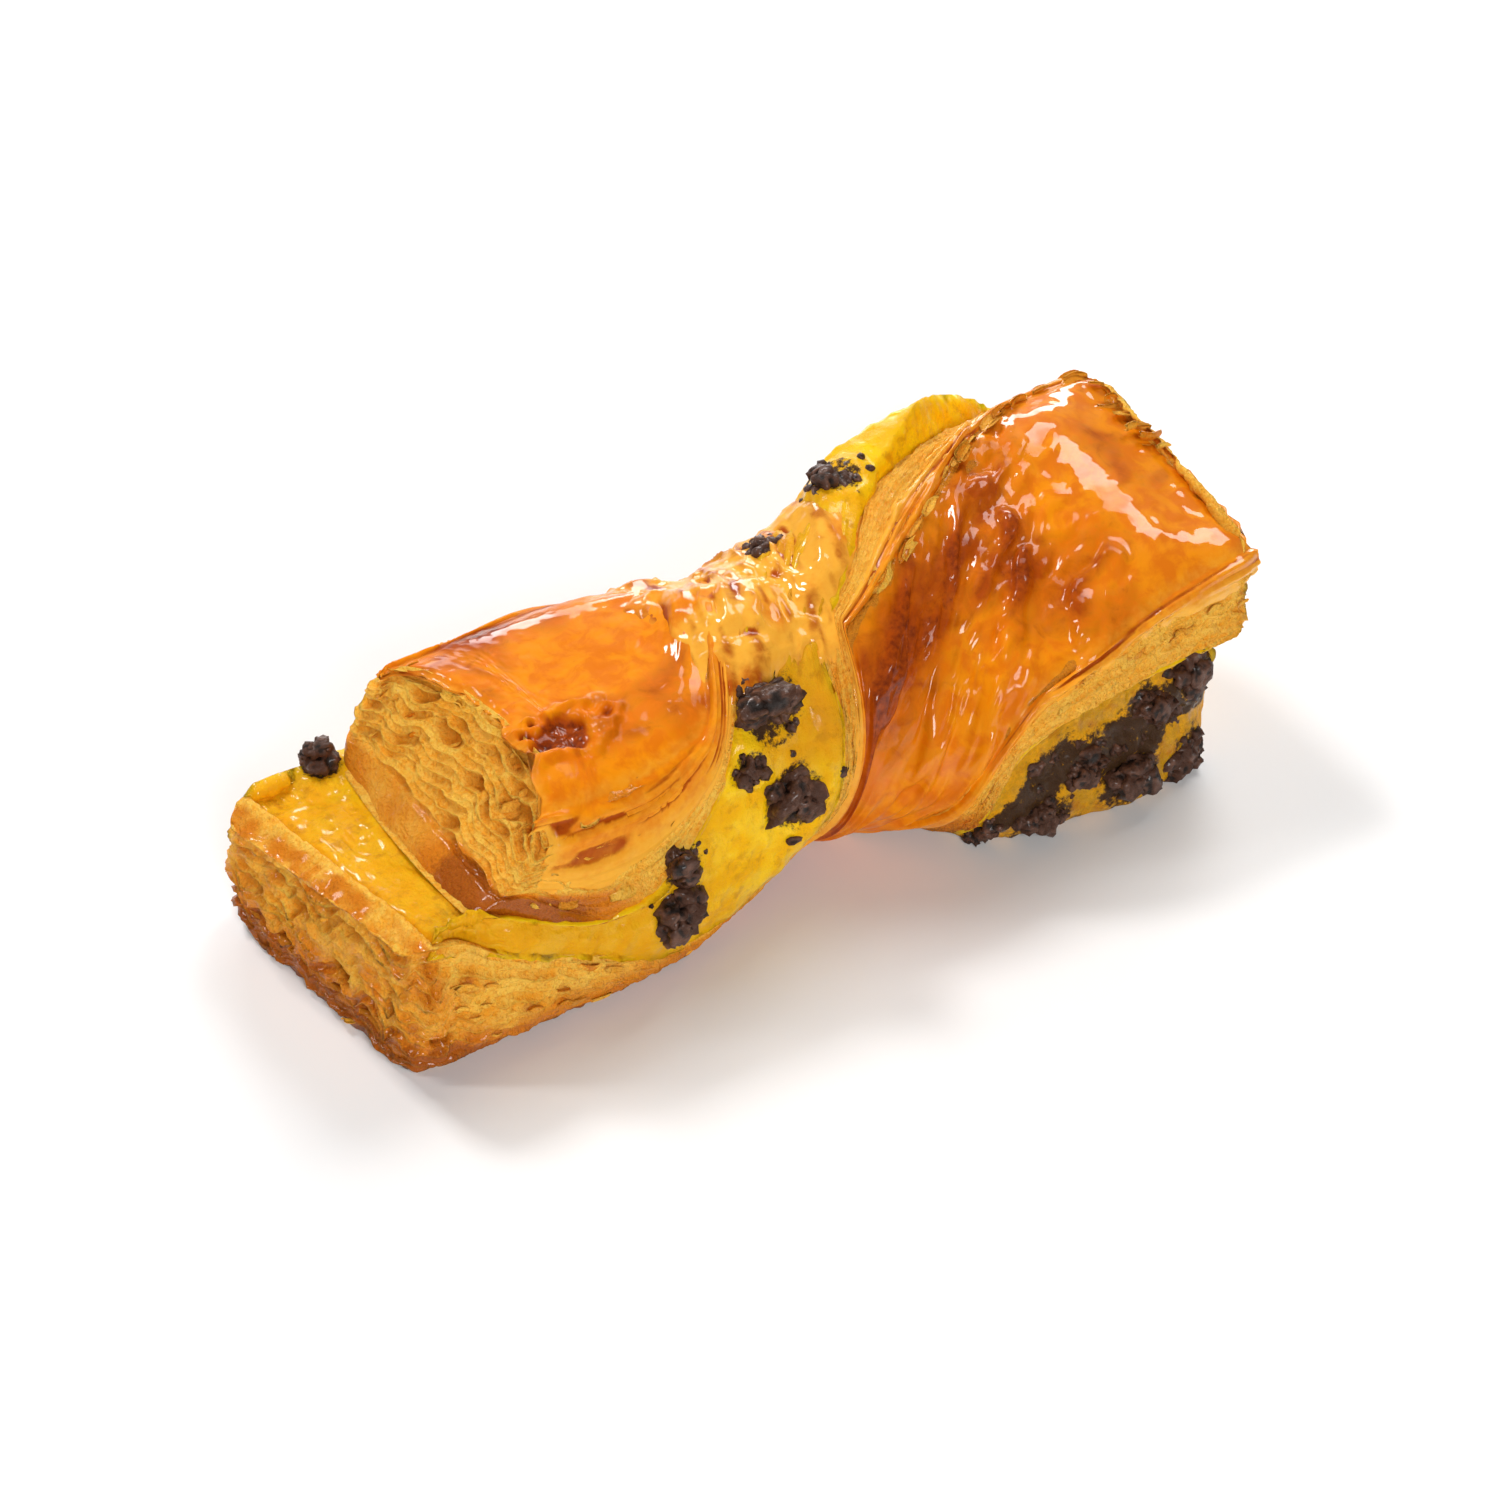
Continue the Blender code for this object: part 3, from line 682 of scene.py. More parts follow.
# The glazed skin of one layer: a thin sheet over its outer face that goes on past both rims, down the cut
# sides, and ends with a torn edge; its underside is coarse and lies inside the crumb.
skinShape = {
    "lower": {"along": 384, "rim": 30, "across": 116, "blister": 1.1, "wave": 0.55, "pastLeft": -2.5},
    "upper": {"along": 340, "rim": 36, "across": 108, "blister": 0.45, "wave": 0.3, "pastLeft": 0.5},
    "pastRight": 0.7,  # mm past the layer's end
    "width": 46.0,  # mm across, for the patterns only
    "cutHeight": 17.0,  # mm down a cut side
    "thin": 0.3,  # mm thick at the torn edges
    "deep": 1.6,  # mm below the skin's face elsewhere
}
burstBlister = {"place": (-33.0, 12.0), "size": (7.0, 4.6)}  # x and mm from the front rim


def reachDown(layer, side, x):  # how far the skin goes down a cut side, in mm
    if layer == "lower":
        front = -0.6 + 9.0 * smooth(-12, -2, x) * (1 - 0.6 * smooth(40, 60, x))
        back = -0.6 + 6.0 * smooth(-4, 20, x)
        return front if side == 0 else back
    front = 1.4 + 11.5 * smooth(-50, -42, x) * (1 - smooth(8, 22, x)) + 4 * hump(x, -8, 16)
    return front if side == 0 else 1.0 + 0 * x


def skin(layer, material):
    rules, shape = layers[layer], skinShape[layer]
    start, end = rules["ends"]
    seed = rules["seed"] + 100
    width = skinShape["width"]

    def torn(place, side, coarse=0.8, fine=0.4):  # wavy outline of a torn edge in mm
        spot = np.stack([place, 0 * place + side * 9.0, 0 * place], -1)
        wavy = coarse * noise(spot / 5.0, seed) + fine * noise(spot / 1.3, seed + 1)
        return wavy + 0.3 * noise(spot / 0.5, seed + 15)

    across = np.concatenate([np.linspace(-1, 0, shape["rim"], endpoint=False),
                             np.linspace(0, 1, shape["across"]),
                             np.linspace(1, 2, shape["rim"] + 1)[1:]])[None, :]
    u = np.linspace(0, 1, shape["along"])[:, None]
    past = shape["pastLeft"]  # only the last rows follow the torn ends
    x = start - past + (end + skinShape["pastRight"] - start + past) * u
    x = x - torn(np.clip(across, -0.2, 1.2) * width, 1, 1.3, 0.7) * (1 - smooth(0, 0.06, u))
    x = x + torn(np.clip(across, -0.2, 1.2) * width, 2, 1.0, 0.7) * smooth(0.94, 1, u)
    w = np.clip(across, 0, 1) + 0 * u
    cutFront = np.maximum(0, -across) * np.maximum(0.05, reachDown(layer, 0, x) + torn(x, 3, 1.3, 0.35))
    cutBack = np.maximum(0, across - 1) * np.maximum(0.05, reachDown(layer, 1, x) + torn(x, 4, 1.3, 0.35))
    fade = np.maximum(0, -across) + np.maximum(0, across - 1)
    reached = np.maximum(cutFront, cutBack)
    base = layerPoint(layer, x, w, (cutFront + cutBack) / skinShape["cutHeight"])
    for _ in range(3):  # rounds the corner at the rims
        soft = base.copy()
        soft[:, 1:-1] = (base[:, :-2] + 2 * base[:, 1:-1] + base[:, 2:]) / 4
        base = soft
    outward = facing(normalsOf(base), base - axisAt(x))

    # Waves, long blisters that lie askew to the twist, and small pimples.
    flat = np.stack([x, w * width + cutBack - cutFront, 0 * x], -1)
    askew = np.stack([0.80 * flat[..., 0] + 0.60 * flat[..., 1],
                      0.80 * flat[..., 1] - 0.60 * flat[..., 0], 0 * x], -1)
    waves = cloud(flat, 11.0, seed + 2, 2)
    bent = 0.35 * noise(flat / 6, seed + 12)[..., None]
    long = noise(askew * np.array([1 / 3.6, 1 / 7.5, 1]) + bent, seed + 3)
    small = noise(askew * np.array([1 / 1.7, 1 / 2.8, 1]), seed + 4)
    pimples = noise(flat / 1.1, seed + 5)
    lively = 0.3 + 0.7 * smooth(-6, 14, x) if layer == "lower" else 0.10 + 0.9 * hump(x, -4, 18)
    blisters = smooth(0.0, 0.7, long) + 0.5 * cloud(flat, 5.0, seed + 13) + 0.3 * small - 0.25
    calm = 0.95 * smooth(44, 52, x) if layer == "lower" else 0
    blisters = shape["blister"] * lively * blisters * (1 - calm)
    endDistance = np.minimum(x - x[:1], x[-1:] - x)
    rimDistance = np.minimum(np.abs(across), np.abs(across - 1)) * width + 0 * x
    onCut = smooth(0, 0.2, fade)
    rim = 0.45 * (1 - smooth(0, 4.5, rimDistance)) * (1 - onCut)
    rim = rim + (0.45 + 0.55 * smooth(0.3, 0.95, fade)) * onCut
    rim = np.maximum(rim, 0.5 * (1 - smooth(0, 2.5, endDistance)))
    lift = shape["wave"] * waves * (1 - 0.7 * calm) + blisters + 0.05 * pimples - 0.15
    if layer == "lower":  # the right end rounds off gently, so that a broad strip of it faces away
        rounded = (1.2 * hump(x, 50, 12) - 1.3 * smooth(52, 63, x)) * smooth(0.02, 0.15, w)
        lift = lift + rounded * (1 - smooth(0.8, 1.0, w))
    leafPlace = reached / 0.8 + 0.6 * noise(flat / 9, seed + 14)
    leaves = noise(np.stack([leafPlace, x / 12.0, 0 * x], -1), seed + 9)
    folds = 0.5 + 0.45 * leaves - 0.75 * smooth(0.55, 1.0, fade)
    lift = lift * (1 - 0.6 * onCut) + folds * onCut
    lift = lift - 0.55 * (1 - smooth(0, 1.6, endDistance))
    burst = 0 * x
    if layer == "upper":  # one burst blister on the left top
        spot = np.hypot((base[..., 0] - burstBlister["place"][0]) / burstBlister["size"][0],
                        (flat[..., 1] - burstBlister["place"][1]) / burstBlister["size"][1])
        ragged = noise(base / 1.6, seed + 6)
        spot = spot + 0.4 * ragged
        burst = 1 - smooth(0.4, 0.95, spot)
        lift = lift + 1.1 * hump(spot, 1.05, 0.5) * (0.6 + 0.7 * noise(base / 1.3, seed + 7)) - 0.7 * burst
        lift = lift + 0.5 * burst * noise(base / 1.1, seed + 16)
    top = base + outward * lift[..., None]

    # Underside: some of the rows, a smooth sheet well inside the crumb, but thin at the torn edges.
    rimRows, crossRows = shape["rim"], shape["across"]
    columns = np.concatenate([np.arange(0, rimRows, 4), np.arange(rimRows, rimRows + crossRows, 8),
                              np.arange(rimRows + crossRows, across.size - 1, 4), [across.size - 1]])[::-1]
    place = across[:, columns] + 0 * x[:, columns]
    inner = smooth(0, 0.1, np.minimum(place, 1 - place)) * smooth(0, 5, endDistance[:, columns])
    thin = top[:, columns] - outward[:, columns] * skinShape["thin"]
    deep = base[:, columns] - outward[:, columns] * skinShape["deep"]
    low = thin + (deep - thin) * inner[..., None]
    points = np.concatenate([top, low], 1)
    points[..., 2] = np.maximum(points[..., 2], 0)
    patches = 0.8 * cloud(flat, 11.0, seed + 8) + 0.15 * long
    dark = 0.30 + 0.62 * patches + 0.12 * smooth(0.1, 0.7, long)
    if layer == "upper":  # darker along the back rim and round the burst blister
        dark = dark - 0.06 + 0.5 * smooth(0.72, 1.0, w) + 0.9 * burst
    else:  # darkest along the ridge beside the neck, palest at the foot
        dark = dark + 0.25 + 0.08 * hump(x, 18, 14) * (1 - smooth(0.25, 0.6, w))
        dark = dark - 0.4 * smooth(0.3, 0.7, w) * (1 - smooth(22, 38, x)) - 0.3 * smooth(0.7, 1.0, w)
        dark = dark - 0.3 * smooth(42, 54, x)
    lines = smooth(0.05, 0.5, -leaves) * (1 - 0.75 * smooth(0.45, 0.85, fade))
    dark = dark * (1 - onCut) + (0.15 + 0.62 * lines) * onCut
    gloss = 1 + 0 * x * w
    if layer == "upper":
        gloss = 0.3 + 0.7 * np.maximum(np.maximum(smooth(0.6, 0.8, w) * smooth(-40, -26, x), burst),
                                       smooth(-24, -12, x))
    else:
        gloss = gloss + 1.4 * smooth(44, 52, x)
    tones = np.stack([gloss, rim, np.clip(dark, 0, 1)], -1)
    tones = np.concatenate([tones, tones[:, columns]], 1)
    total = points.shape[1]
    faces = gridQuads(shape["along"], total, closeColumns=True).tolist()
    lastRow = (shape["along"] - 1) * total
    for j in range(len(columns) - 1):  # end faces, a narrow one for each piece of the underside
        loop = list(range(columns[j + 1], columns[j] + 1)) + [across.size + j, across.size + j + 1]
        faces += [loop[::-1], [lastRow + k for k in loop]]
    makePiece(f"{layer}Skin", points, faces, tones, material, [f"dough_{layer}"])


# The custard: sections along the lower layer, up the back opening, over and down the front opening.
custardShape = {
    "ends": (-64.4, 60.6), "along": 430, "inside": 40, "opening": 38, "lump": 0.55,
    "endRound": 4.5,  # mm over which the right end closes
    "tuck": 1.0,  # degrees by which it reaches past the dough's lips, so that no gap shows
}


def custard(material, drops):
    shape = custardShape
    start, end = shape["ends"]
    x = np.linspace(start, end, shape["along"])[:, None]
    share = np.linspace(0, 1, shape["inside"])[None, :]
    inside = np.linspace(0, 1, shape["opening"] + 2)[None, 1:-1]
    tuck = -shape["tuck"]
    lips = {name: edge(name, x) for name in twistShape if name.endswith("Lip")}
    half = twistShape["custardMiddle"] / 2
    under = seam(x + 0 * share, share + 0 * x, -1, half, outline(lips["lowerFrontLip"] + tuck, x),
                 outline(lips["lowerBackLip"] - tuck, x))
    over = seam(x + 0 * share, 1 - share + 0 * x, 1, half, outline(lips["upperFrontLip"] - tuck, x),
                outline(lips["upperBackLip"] + tuck, x))
    back = lips["lowerBackLip"] + (lips["upperBackLip"] - lips["lowerBackLip"]) * inside
    front = lips["upperFrontLip"] + (lips["lowerFrontLip"] - lips["upperFrontLip"]) * inside
    atLeft = 1 - smooth(-56, -47, x)  # sunk behind the kerb of dough
    inset = -3 * smooth(52, end, x) ** 2 - 0.3 - 1.7 * atLeft
    proud = 0.5 * np.sin(np.pi * inside)
    backArc = outline(back, x + 0 * back, inset + proud)
    frontArc = outline(front, x + 0 * front, inset + proud)
    ring = np.concatenate([under, backArc, over, frontArc], 1)
    askew = (1 - smooth(-67, -67 + twistShape["endFade"], x)) * twistShape["endSkew"]
    ring[..., 0] += askew * (20 - ring[..., 1])
    angle = np.concatenate([0 * under[..., 0], back + 0 * x, 0 * over[..., 0], front + 0 * x], 1)
    outward = facing(normalsOf(ring, closedRows=True), ring - ring.mean(1, keepdims=True))
    lumps = cloud(ring, 4.5, 201, 3)
    beads = np.clip(noise(ring / 1.5, 207), 0, 1) ** 1.5 - 0.8 * np.clip(noise(ring / 1.1, 208) - 0.2, 0, 1)
    neck = hump(x, 3, 26) * smooth(30, 55, angle)  # pulled thin over the neck: wrinkles run along the band
    place = np.concatenate([0 * under[..., 0], inside + 0 * x, 0 * over[..., 0], inside + 0 * x], 1)
    widths = np.linalg.norm(ring - np.roll(ring, 1, 1), axis=-1)
    bandWide = widths[:, -shape["opening"]:].sum(1, keepdims=True)

    def creased(wide, long, seed):  # noise drawn out along the band
        return noise(np.stack([place * bandWide / wide, ring[..., 0] / long, 0 * place], -1), seed)

    wrinkles = creased(1.1, 7.0, 213) + 0.5 * creased(0.55, 4.0, 214)
    lift = shape["lump"] * (1.2 * lumps + 0.7 * beads) * (1 - 0.4 * neck) + 0.55 * neck * wrinkles
    onTop = np.zeros(ring.shape[:2])
    onTop[:, shape["inside"] + shape["opening"]:2 * shape["inside"] + shape["opening"]] = 1
    broken = np.floor(3.5 * cloud(ring, 5.0, 221, 2)) / 3.5  # broken sheets of custard on the step
    sunk = onTop * (0.9 + 1.0 * (1 - smooth(-63.5, -60.0, x)))
    lift = lift * (1 - atLeft) + (1.3 * broken + 0.6 * lumps + 0.3 * beads - sunk) * atLeft
    smear = np.zeros(ring.shape[:2])
    for drop in drops:
        distance = np.linalg.norm(ring - drop["centre"], axis=-1) / drop["reach"]
        smear = np.maximum(smear, 1 - smooth(0.6, 1.7, distance))
        lift = lift + 0.35 * hump(distance, 1.2, 0.6)
    frontRight = smooth(14, 24, x) * (angle > 230)
    bandMiddle = 0.24 + 0.07 * noise(ring / 6.0, 212)
    band = frontRight * (1 - smooth(0.05, 0.15, np.abs(place - bandMiddle))) * (place > 0)
    soiled = frontRight * (0.22 + 0.5 * noise(ring / 2.6, 211))
    nearDrops = hump(x, 2, 20) * smooth(5, 20, angle) * (1 - smooth(60, 80, angle))
    soiled = soiled + nearDrops * (0.12 + 0.4 * noise(ring / 2.0, 216))
    smear = np.clip(np.maximum(0.8 * smear, band) + soiled, 0, 1)
    lift = lift + band * (0.4 + 1.2 * cloud(ring, 2.2, 215, 3)) - 0.5 * frontRight
    points = ring + outward * lift[..., None]
    n, m = shape["inside"], shape["opening"]
    taper = (0.93 * (1 - smooth(start, start + 3.2, x)))[..., None]  # thins out under the kerb
    floorLine = points[:, :n]
    points[:, n + m:2 * n + m] += (floorLine[:, ::-1] - points[:, n + m:2 * n + m]) * taper
    points[:, n:n + m] += (floorLine[:, -1:] - points[:, n:n + m]) * taper
    points[:, 2 * n + m:] += (floorLine[:, :1] - points[:, 2 * n + m:]) * taper
    # The right end is rounded: each section closes on the line midway between its two seams.
    halfway = (points[:, :n] + points[:, n + m:2 * n + m][:, ::-1]) / 2
    target = np.concatenate([halfway, np.repeat(halfway[:, -1:], m, 1), halfway[:, ::-1],
                             np.repeat(halfway[:, :1], m, 1)], 1)
    near = np.clip((x - end + shape["endRound"]) / shape["endRound"], 0, 1)
    points += (target - points) * (0.98 * (1 - np.sqrt(1 - near ** 2)))[..., None]
    points[..., 2] = np.maximum(points[..., 2], 0)
    # painted shade: over the neck the wrinkles' troughs are baked darker
    baked = neck * (0.62 + 0.5 * lumps + 0.55 * smooth(0.0, 0.6, -wrinkles))
    baked = np.maximum(baked, 0.55 * nearDrops * (1 + lumps))
    # painted shade: the custard on the step, sunk in its groove, is darker
    baked = np.maximum(baked, 0.5 * atLeft * onTop)
    baked = np.maximum(np.maximum(baked, 0.6 * frontRight), 0.5 * (1 - smooth(-30, -12, x)) * (place > 0))
    # clean tone: random, with painted shade as olive at the right front, under the overhang
    cleanAndPaintedLight = np.clip(0.5 + 0.5 * lumps, 0, 1) - 1.2 * frontRight
    # cleaner yellow on the left, but painted shade as olive on the step
    cleanAndPaintedLight = cleanAndPaintedLight + 0.8 * (1 - smooth(-30, -10, x)) * (1 - 1.3 * atLeft * onTop)
    # painted light: the back bulge, which faces the light, is a cleaner yellow
    cleanAndPaintedLight = cleanAndPaintedLight + 0.8 * smooth(95, 115, angle) * (angle < 230)
    tones = np.stack([smear, np.clip(baked, 0, 1), cleanAndPaintedLight], -1)
    total = points.shape[1]
    faces = gridQuads(shape["along"], total, closeColumns=True).tolist()
    last = (shape["along"] - 1) * total
    faces += [list(range(total))[::-1], [last + k for k in range(total)]]
    openings = np.concatenate([points[10:-10, shape["inside"]:][:, :shape["opening"]].reshape(-1, 3),
                               points[10:-10, -shape["opening"]:].reshape(-1, 3)])
    makePiece("custardFilling", points, faces, tones, material, ["custard"])
    return openings, points[band > 0.55]


# Chocolate: every drop is a clump of small lumps round its place in the frame, with crumbs of it round about.
chocolateShape = {"subdivisions": 4, "lobes": 11, "crumbs": 8, "crumbSize": (0.3, 0.95), "bandLumps": 40,
                  "bandSize": (0.7, 1.5), "past": 0.9}  # past: mm by which a lump may pass its drop's box


def unitBall(subdivisions):
    ball = bmesh.new()
    bmesh.ops.create_icosphere(ball, subdivisions=subdivisions, radius=1)
    points = np.array([v.co for v in ball.verts])
    faces = np.array([[v.index for v in f.verts] for f in ball.faces])
    ball.free()
    return points, faces


def dropPlaces():
    places = []
    for name in sorted(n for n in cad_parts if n.startswith("chocolate")):
        low, high = (np.array(corner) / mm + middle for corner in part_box(name))
        centre = (low + high) / 2
        out = centre - axisAt(centre[0])
        places.append({"node": name, "centre": centre, "size": high - low,
                       "outward": out / np.linalg.norm(out), "reach": np.linalg.norm(high - low) / 3.4})
    return places


def chocolate(material, drops, bed, band):
    ball, faces = unitBall(chocolateShape["subdivisions"])
    lump, lumpFaces = unitBall(3)
    grain, grainFaces = unitBall(2)
    rng = np.random.default_rng(5)
    heap = Heap()

    def add(shape, shapeFaces, seat, radius, crumple, seed, drop=None):
        swell = 1 + crumple * cloud(shape * 2.2 + rng.uniform(0, 50, 3), 1.0, seed, 4)[:, None]
        stretch = rng.uniform(0.8, 1.25, 3)
        points = seat + shape * radius * swell * stretch
        if drop:  # held to less than most past the drop's own box: half + most tanh(past / most)
            off, half, most = points - drop["centre"], drop["size"] / 2, chocolateShape["past"]
            past = np.maximum(0, np.abs(off) - half)
            held = np.minimum(np.abs(off), half) + most * np.tanh(past / most)
            points = drop["centre"] + np.sign(off) * held
        points[:, 2] = np.maximum(points[:, 2], 0.05)
        # painted shade: how deep a point lies in a fold, for a darker colour
        foldShade = np.clip(1.1 - swell[:, 0], 0, 0.3) / 0.3
        heap.add(points, shapeFaces, np.stack([foldShade, 0 * foldShade, 0 * foldShade], -1))

    for drop in drops:
        size, out = drop["size"], drop["outward"]
        add(ball, faces, drop["centre"] + out * 0.3, size / 2 * 0.82, 0.6, 301, drop)
        for k in range(chocolateShape["lobes"]):
            way = rng.normal(size=3)
            way = way - 0.7 * min(0.0, way @ out) * out
            way = way / np.linalg.norm(way)
            seat = drop["centre"] + out * 0.6 + way * size / 2 * rng.uniform(0.6, 1.0)
            add(lump, lumpFaces, seat, size / 2 * rng.uniform(0.28, 0.52), 0.6, 302 + k, drop)
        for k in range(chocolateShape["crumbs"]):
            way = rng.normal(size=3)
            spot = drop["centre"] + way / np.linalg.norm(way) * size.max() * rng.uniform(0.4, 0.62)
            near = np.argmin(np.linalg.norm(bed - spot, axis=1))
            add(grain, grainFaces, bed[near], rng.uniform(*chocolateShape["crumbSize"]), 0.6, 401)
    for k in range(chocolateShape["bandLumps"]):  # the melted row of drops at the right front
        radius = rng.uniform(*chocolateShape["bandSize"])
        add(lump, lumpFaces, band[rng.integers(len(band))] + (0, 1.1, 0), radius, 0.85, 501 + k)
    heap.make("chocolateDrops", material, [drop["node"] for drop in drops])


# The neck: a wrinkled glazed sheet of dough pulled over the custard; where its mask fades it dives under
# the rest. Ranges are where the mask starts, is full, starts to fade and has gone, along x and round the
# angle.
neckShape = {"x": (-17, -8, 3, 12), "angle": (38, 62, 138, 160), "over": 9.0, "rows": 130, "columns": 150,
             "height": 0.4}


def neck(material):
    shape = neckShape
    (x0, x1, x2, x3), (a0, a1, a2, a3) = shape["x"], shape["angle"]
    x = np.linspace(x0 - 1.5, x3 + shape["over"] + 1.5, shape["rows"])[:, None]
    angle = np.linspace(a0 - 6, a3 + 6, shape["columns"])[None, :]
    right = shape["over"] * smooth(66, 92, angle)  # over the top it goes on further to the right
    base = outline(angle + 0 * x, x + 0 * angle)
    wander = cloud(base, 5.0, 701, 2)
    mask = smooth(x0, x1, x + 2.5 * wander) * (1 - smooth(x2, x3, x - right + 2.5 * wander))
    mask = mask * smooth(a0, a1, angle + 7 * wander) * (1 - smooth(a2, a3, angle + 5 * wander))
    outward = facing(normalsOf(base), np.array([0, 0, 1.0]))
    flat = np.stack([x * 1.0 + 0 * angle, angle * 0.32 + 0 * x, 0 * x * angle], -1)
    sheared = np.stack([flat[..., 0] - 0.25 * flat[..., 1], flat[..., 1], flat[..., 2]], -1)
    bent = 0.5 * noise(flat / 4, 703)[..., None]
    creases = 1 - 2 * np.abs(noise(sheared * (1 / 2.4, 1 / 8.0, 1) + bent, 702))
    small = noise(sheared * (1 / 0.9, 1 / 3.0, 1), 704)
    beads = np.clip(noise(flat / 1.3, 705), 0, 1)
    relief = 0.55 * creases + 0.20 * small + 0.28 * beads + 0.4 * wander
    lift = -1.3 + mask * (1.3 + shape["height"] + relief)
    top = base + outward * lift[..., None]
    low = (base + outward * (lift - 0.4 - 0.6 * mask)[..., None])[:, ::-1]
    points = np.concatenate([top, low], 1)
    orange = smooth(0.0, 0.5, wander) * 0.5 + 0.5 * (1 - smooth(-10, -2, x)) * smooth(75, 100, angle)
    # painted shade: darker in the troughs between the creases; the rest of the tone is random
    dark = 0.36 + 0.6 * smooth(0.0, 0.8, -creases) + 0.3 * small + 0.15 * wander
    tones = np.stack([1 + 0 * dark, np.clip(0.85 - 0.7 * orange, 0, 1), np.clip(dark, 0, 1)], -1)
    tones = np.concatenate([tones, tones[:, ::-1]], 1)
    rows, total = points.shape[:2]
    faces = gridQuads(rows, total, closeColumns=True).tolist()
    half = total // 2
    for j in range(half - 1):
        ends = [j, j + 1, total - j - 2, total - j - 1]
        faces += [ends, [(rows - 1) * total + k for k in ends[::-1]]]
    makePiece("neckSheet", points, faces, tones, material, [])


flakeShape = {"rows": 9, "columns": 6, "off": 0.25, "half": 0.06}  # mm off the face, half the thickness
# Loose flakes: thin bent sheets with an irregular outline that stand off the leaves' edges. Each line has
# the layer, its range of x, w and v, how many, and their half lengths in mm.
flakeSpots = (
    ("lower", (14, 62), (0.0, 0.02), (0.0, 0.10), 26, (0.8, 2.2)),
    ("lower", (62, 64.5), (0.0, 0.5), (0.0, 0.3), 16, (0.8, 2.0)),
    ("lower", (-66.5, -62), (0.02, 0.98), (0.1, 1.0), 34, (0.5, 1.5)),
    ("lower", (-60, -30), (0.0, 0.01), (0.3, 0.9), 14, (0.6, 1.6)),
    ("upper", (-49.5, -47), (0.05, 0.95), (0.05, 0.6), 26, (0.5, 1.6)),
    ("upper", (-42, -8), (0.0, 0.01), (0.1, 0.8), 18, (0.8, 2.2)),
    ("lower", (20, 62), (0.99, 1.0), (0.1, 0.6), 16, (0.6, 1.6)),
)


def flakes(material):
    rng = np.random.default_rng(21)
    heap = Heap()
    rows, columns = flakeShape["rows"], flakeShape["columns"]
    a, b = np.meshgrid(np.linspace(-1, 1, rows), np.linspace(-1, 1, columns), indexing="ij")
    flat, total = gridQuads(rows, columns), rows * columns
    rim = np.concatenate([np.arange(columns - 1), np.arange(columns - 1, total - 1, columns),
                          np.arange(total - 1, total - columns, -1),
                          np.arange(total - columns, 0, -columns)])
    other = np.roll(rim, -1)
    sides = np.stack([rim, other, other + total, rim + total], -1)
    shell = np.concatenate([flat[:, ::-1], flat + total, sides])
    for layer, xRange, wRange, vRange, count, sizes in flakeSpots:
        for _ in range(count):
            x, w, v = (np.array([rng.uniform(*r)]) for r in (xRange, wRange, vRange))
            seat = layerPoint(layer, x, w, v)[0]
            run = layerPoint(layer, x + 0.4, w, v)[0] - layerPoint(layer, x - 0.4, w, v)[0]
            across = layerPoint(layer, x, w, v + 0.03)[0] - layerPoint(layer, x, w, v - 0.03)[0]
            run, across = run / np.linalg.norm(run), across / np.linalg.norm(across)
            out = np.cross(run, across)
            out = out * np.sign((seat - axisAt(x[0])) @ (out * [0, 1, 1]) or 1)
            tilt = rng.uniform(-0.5, 0.9)
            wide = across * np.cos(tilt) + out * np.sin(tilt)
            long, short = rng.uniform(*sizes), rng.uniform(0.35, 0.6)
            ragged = 1 + 0.3 * noise(np.stack([a * 1.5, b * 1.5, 0 * a + rng.uniform(0, 90)], -1), 603)
            bend = rng.uniform(-0.4, 0.4) * a ** 2 + rng.uniform(0.0, 0.4) * b ** 2
            up = np.cross(run, wide)
            narrowed = b[..., None] * np.sqrt(1 - 0.6 * a[..., None] ** 2)
            spread = a[..., None] * run * long + narrowed * wide * long * short
            sheet = seat + out * flakeShape["off"] + spread * ragged[..., None] + bend[..., None] * up * long
            sheet = sheet.reshape(-1, 3)
            both = np.concatenate([sheet - up * flakeShape["half"], sheet + up * flakeShape["half"]])
            both[:, 2] = np.maximum(both[:, 2], 0)
            heap.add(both, shell, np.tile([0.8, 0.0, rng.uniform(0.2, 0.8)], (len(both), 1)))
    heap.make("looseFlakes", material, [])


drops = dropPlaces()
crumbLookMade, skinLookMade = crumbMaterial(), skinMaterial()
for layer in ("lower", "upper"):
    crumb(layer, crumbLookMade)
    skin(layer, skinLookMade)
neck(skinLookMade)
flakes(crumbLookMade)
bed, band = custard(custardMaterial(), drops)
chocolate(chocolateMaterial(), drops, bed, band)
print("pastry made")


# The stage: a pale floor, soft boxes and a weak even sky. A light's direction is seen from the camera:
# azimuth 0 is behind the pastry, 90 right of it; light is what it gives the floor, as a share of what makes
# white paper white.
stageLook = {
    "floor": (0.90, 0.895, 0.89), "floorSize": 3.0, "floorZ": -0.0002,
    "sky": (1.0, 1.0, 1.0), "skyStrength": 0.09,
}
lights = {
    "key": {"azimuth": -45, "elevation": 52, "distance": 1.1, "size": (0.20, 0.20), "light": 0.33},
    "strip": {"azimuth": -92, "elevation": 36, "distance": 1.0, "size": (0.09, 0.45), "light": 0.13},
    "top": {"azimuth": 30, "elevation": 52, "distance": 1.3, "size": (0.60, 0.52), "light": 0.32},
    "backdrop": {"azimuth": 0, "elevation": 15, "distance": 1.3, "size": (0.75, 0.34), "light": 0.11},
    "front": {"azimuth": 165, "elevation": 32, "distance": 1.3, "size": (0.5, 0.4), "light": 0.33},
}


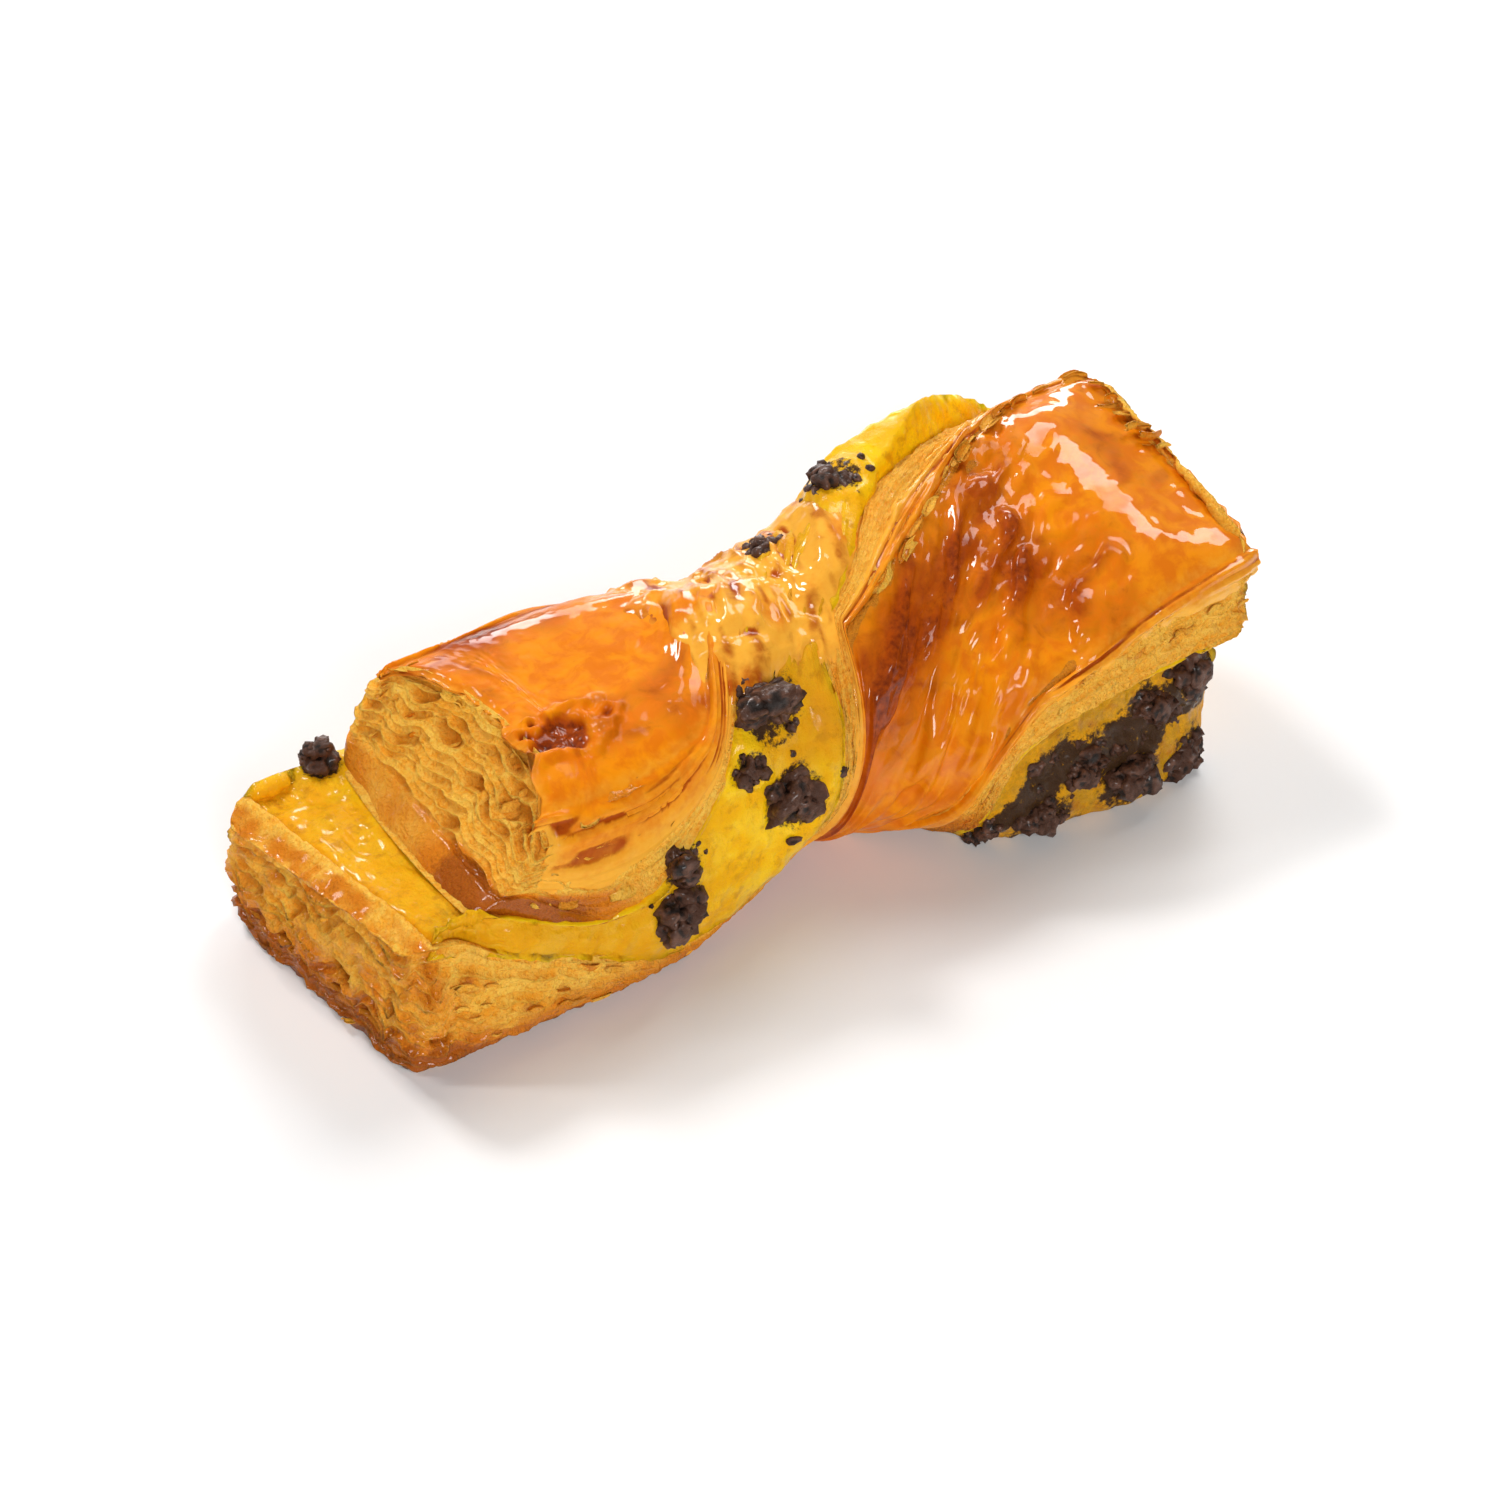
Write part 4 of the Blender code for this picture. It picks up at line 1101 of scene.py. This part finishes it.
def stage():
    floorMesh = bpy.data.meshes.new("floor")
    size, z = stageLook["floorSize"], stageLook["floorZ"]
    corners = [(-size, -size, z), (size, -size, z), (size, size, z), (-size, size, z)]
    floorMesh.from_pydata(corners, [], [(0, 1, 2, 3)])
    floor = bpy.data.objects.new("floor", floorMesh)
    bpy.context.scene.collection.objects.link(floor)
    s = Surface("floorPaint", Roughness=0.5)
    tint = s.grain(80.0, 3.0)
    pale = stageLook["floor"]
    s.feed(Base_Color=s.mix(tint.between(0.3, 0.7), pale, tuple(0.985 * c for c in pale)))
    floorMesh.materials.append(s.material)
    world = bpy.data.worlds.new("sky")
    bpy.context.scene.world = world
    world.use_nodes = True
    sky = world.node_tree.nodes["Background"]
    sky.inputs["Color"].default_value = (*stageLook["sky"], 1)
    sky.inputs["Strength"].default_value = stageLook["skyStrength"]
    for name, light in lights.items():
        turn = np.radians(light["azimuth"] - cameraSetup["azimuth"])
        rise = np.radians(light["elevation"])
        way = np.array([np.sin(turn) * np.cos(rise), np.cos(turn) * np.cos(rise), np.sin(rise)])
        lamp = bpy.data.lights.new(name, "AREA")
        lamp.shape = "RECTANGLE"
        lamp.size, lamp.size_y = light["size"]
        lamp.energy = light["light"] * np.pi ** 2 * light["distance"] ** 2 / np.sin(rise)
        holder = bpy.data.objects.new(name, lamp)
        holder.location = way * light["distance"]
        holder.rotation_euler = Vector(-way).to_track_quat("-Z", "Y").to_euler()
        bpy.context.scene.collection.objects.link(holder)


# Camera: the photograph's angle, 33 degrees to the left of the front and 40 degrees above.
cameraSetup = {"azimuth": -33.0, "elevation": 40.0, "distance": 750.0, "lens": 138.5,
               "target": (0.0, 0.0, 16.0), "frameShift": (0.65, -3.64)}


def camera():
    setup = cameraSetup
    a, e = np.radians(setup["azimuth"]), np.radians(setup["elevation"])
    back = np.array([np.sin(a) * np.cos(e), -np.cos(a) * np.cos(e), np.sin(e)])
    right = np.array([np.cos(a), np.sin(a), 0])
    up = np.array([-np.sin(a) * np.sin(e), np.cos(a) * np.sin(e), np.cos(e)])
    aim = np.array(setup["target"]) - middle + right * setup["frameShift"][0] + up * setup["frameShift"][1]
    lens = bpy.data.cameras.new("camera")
    lens.lens, lens.sensor_width, lens.clip_start = setup["lens"], 36.0, 0.01
    holder = bpy.data.objects.new("camera", lens)
    turned = Matrix([right, up, back]).transposed()
    holder.matrix_world = Matrix.Translation(Vector((aim + back * setup["distance"]) * mm)) @ turned.to_4x4()
    bpy.context.scene.collection.objects.link(holder)
    bpy.context.scene.camera = holder


stage()
camera()
bpy.context.scene.view_settings.view_transform = "Standard"
print("stage and camera set")
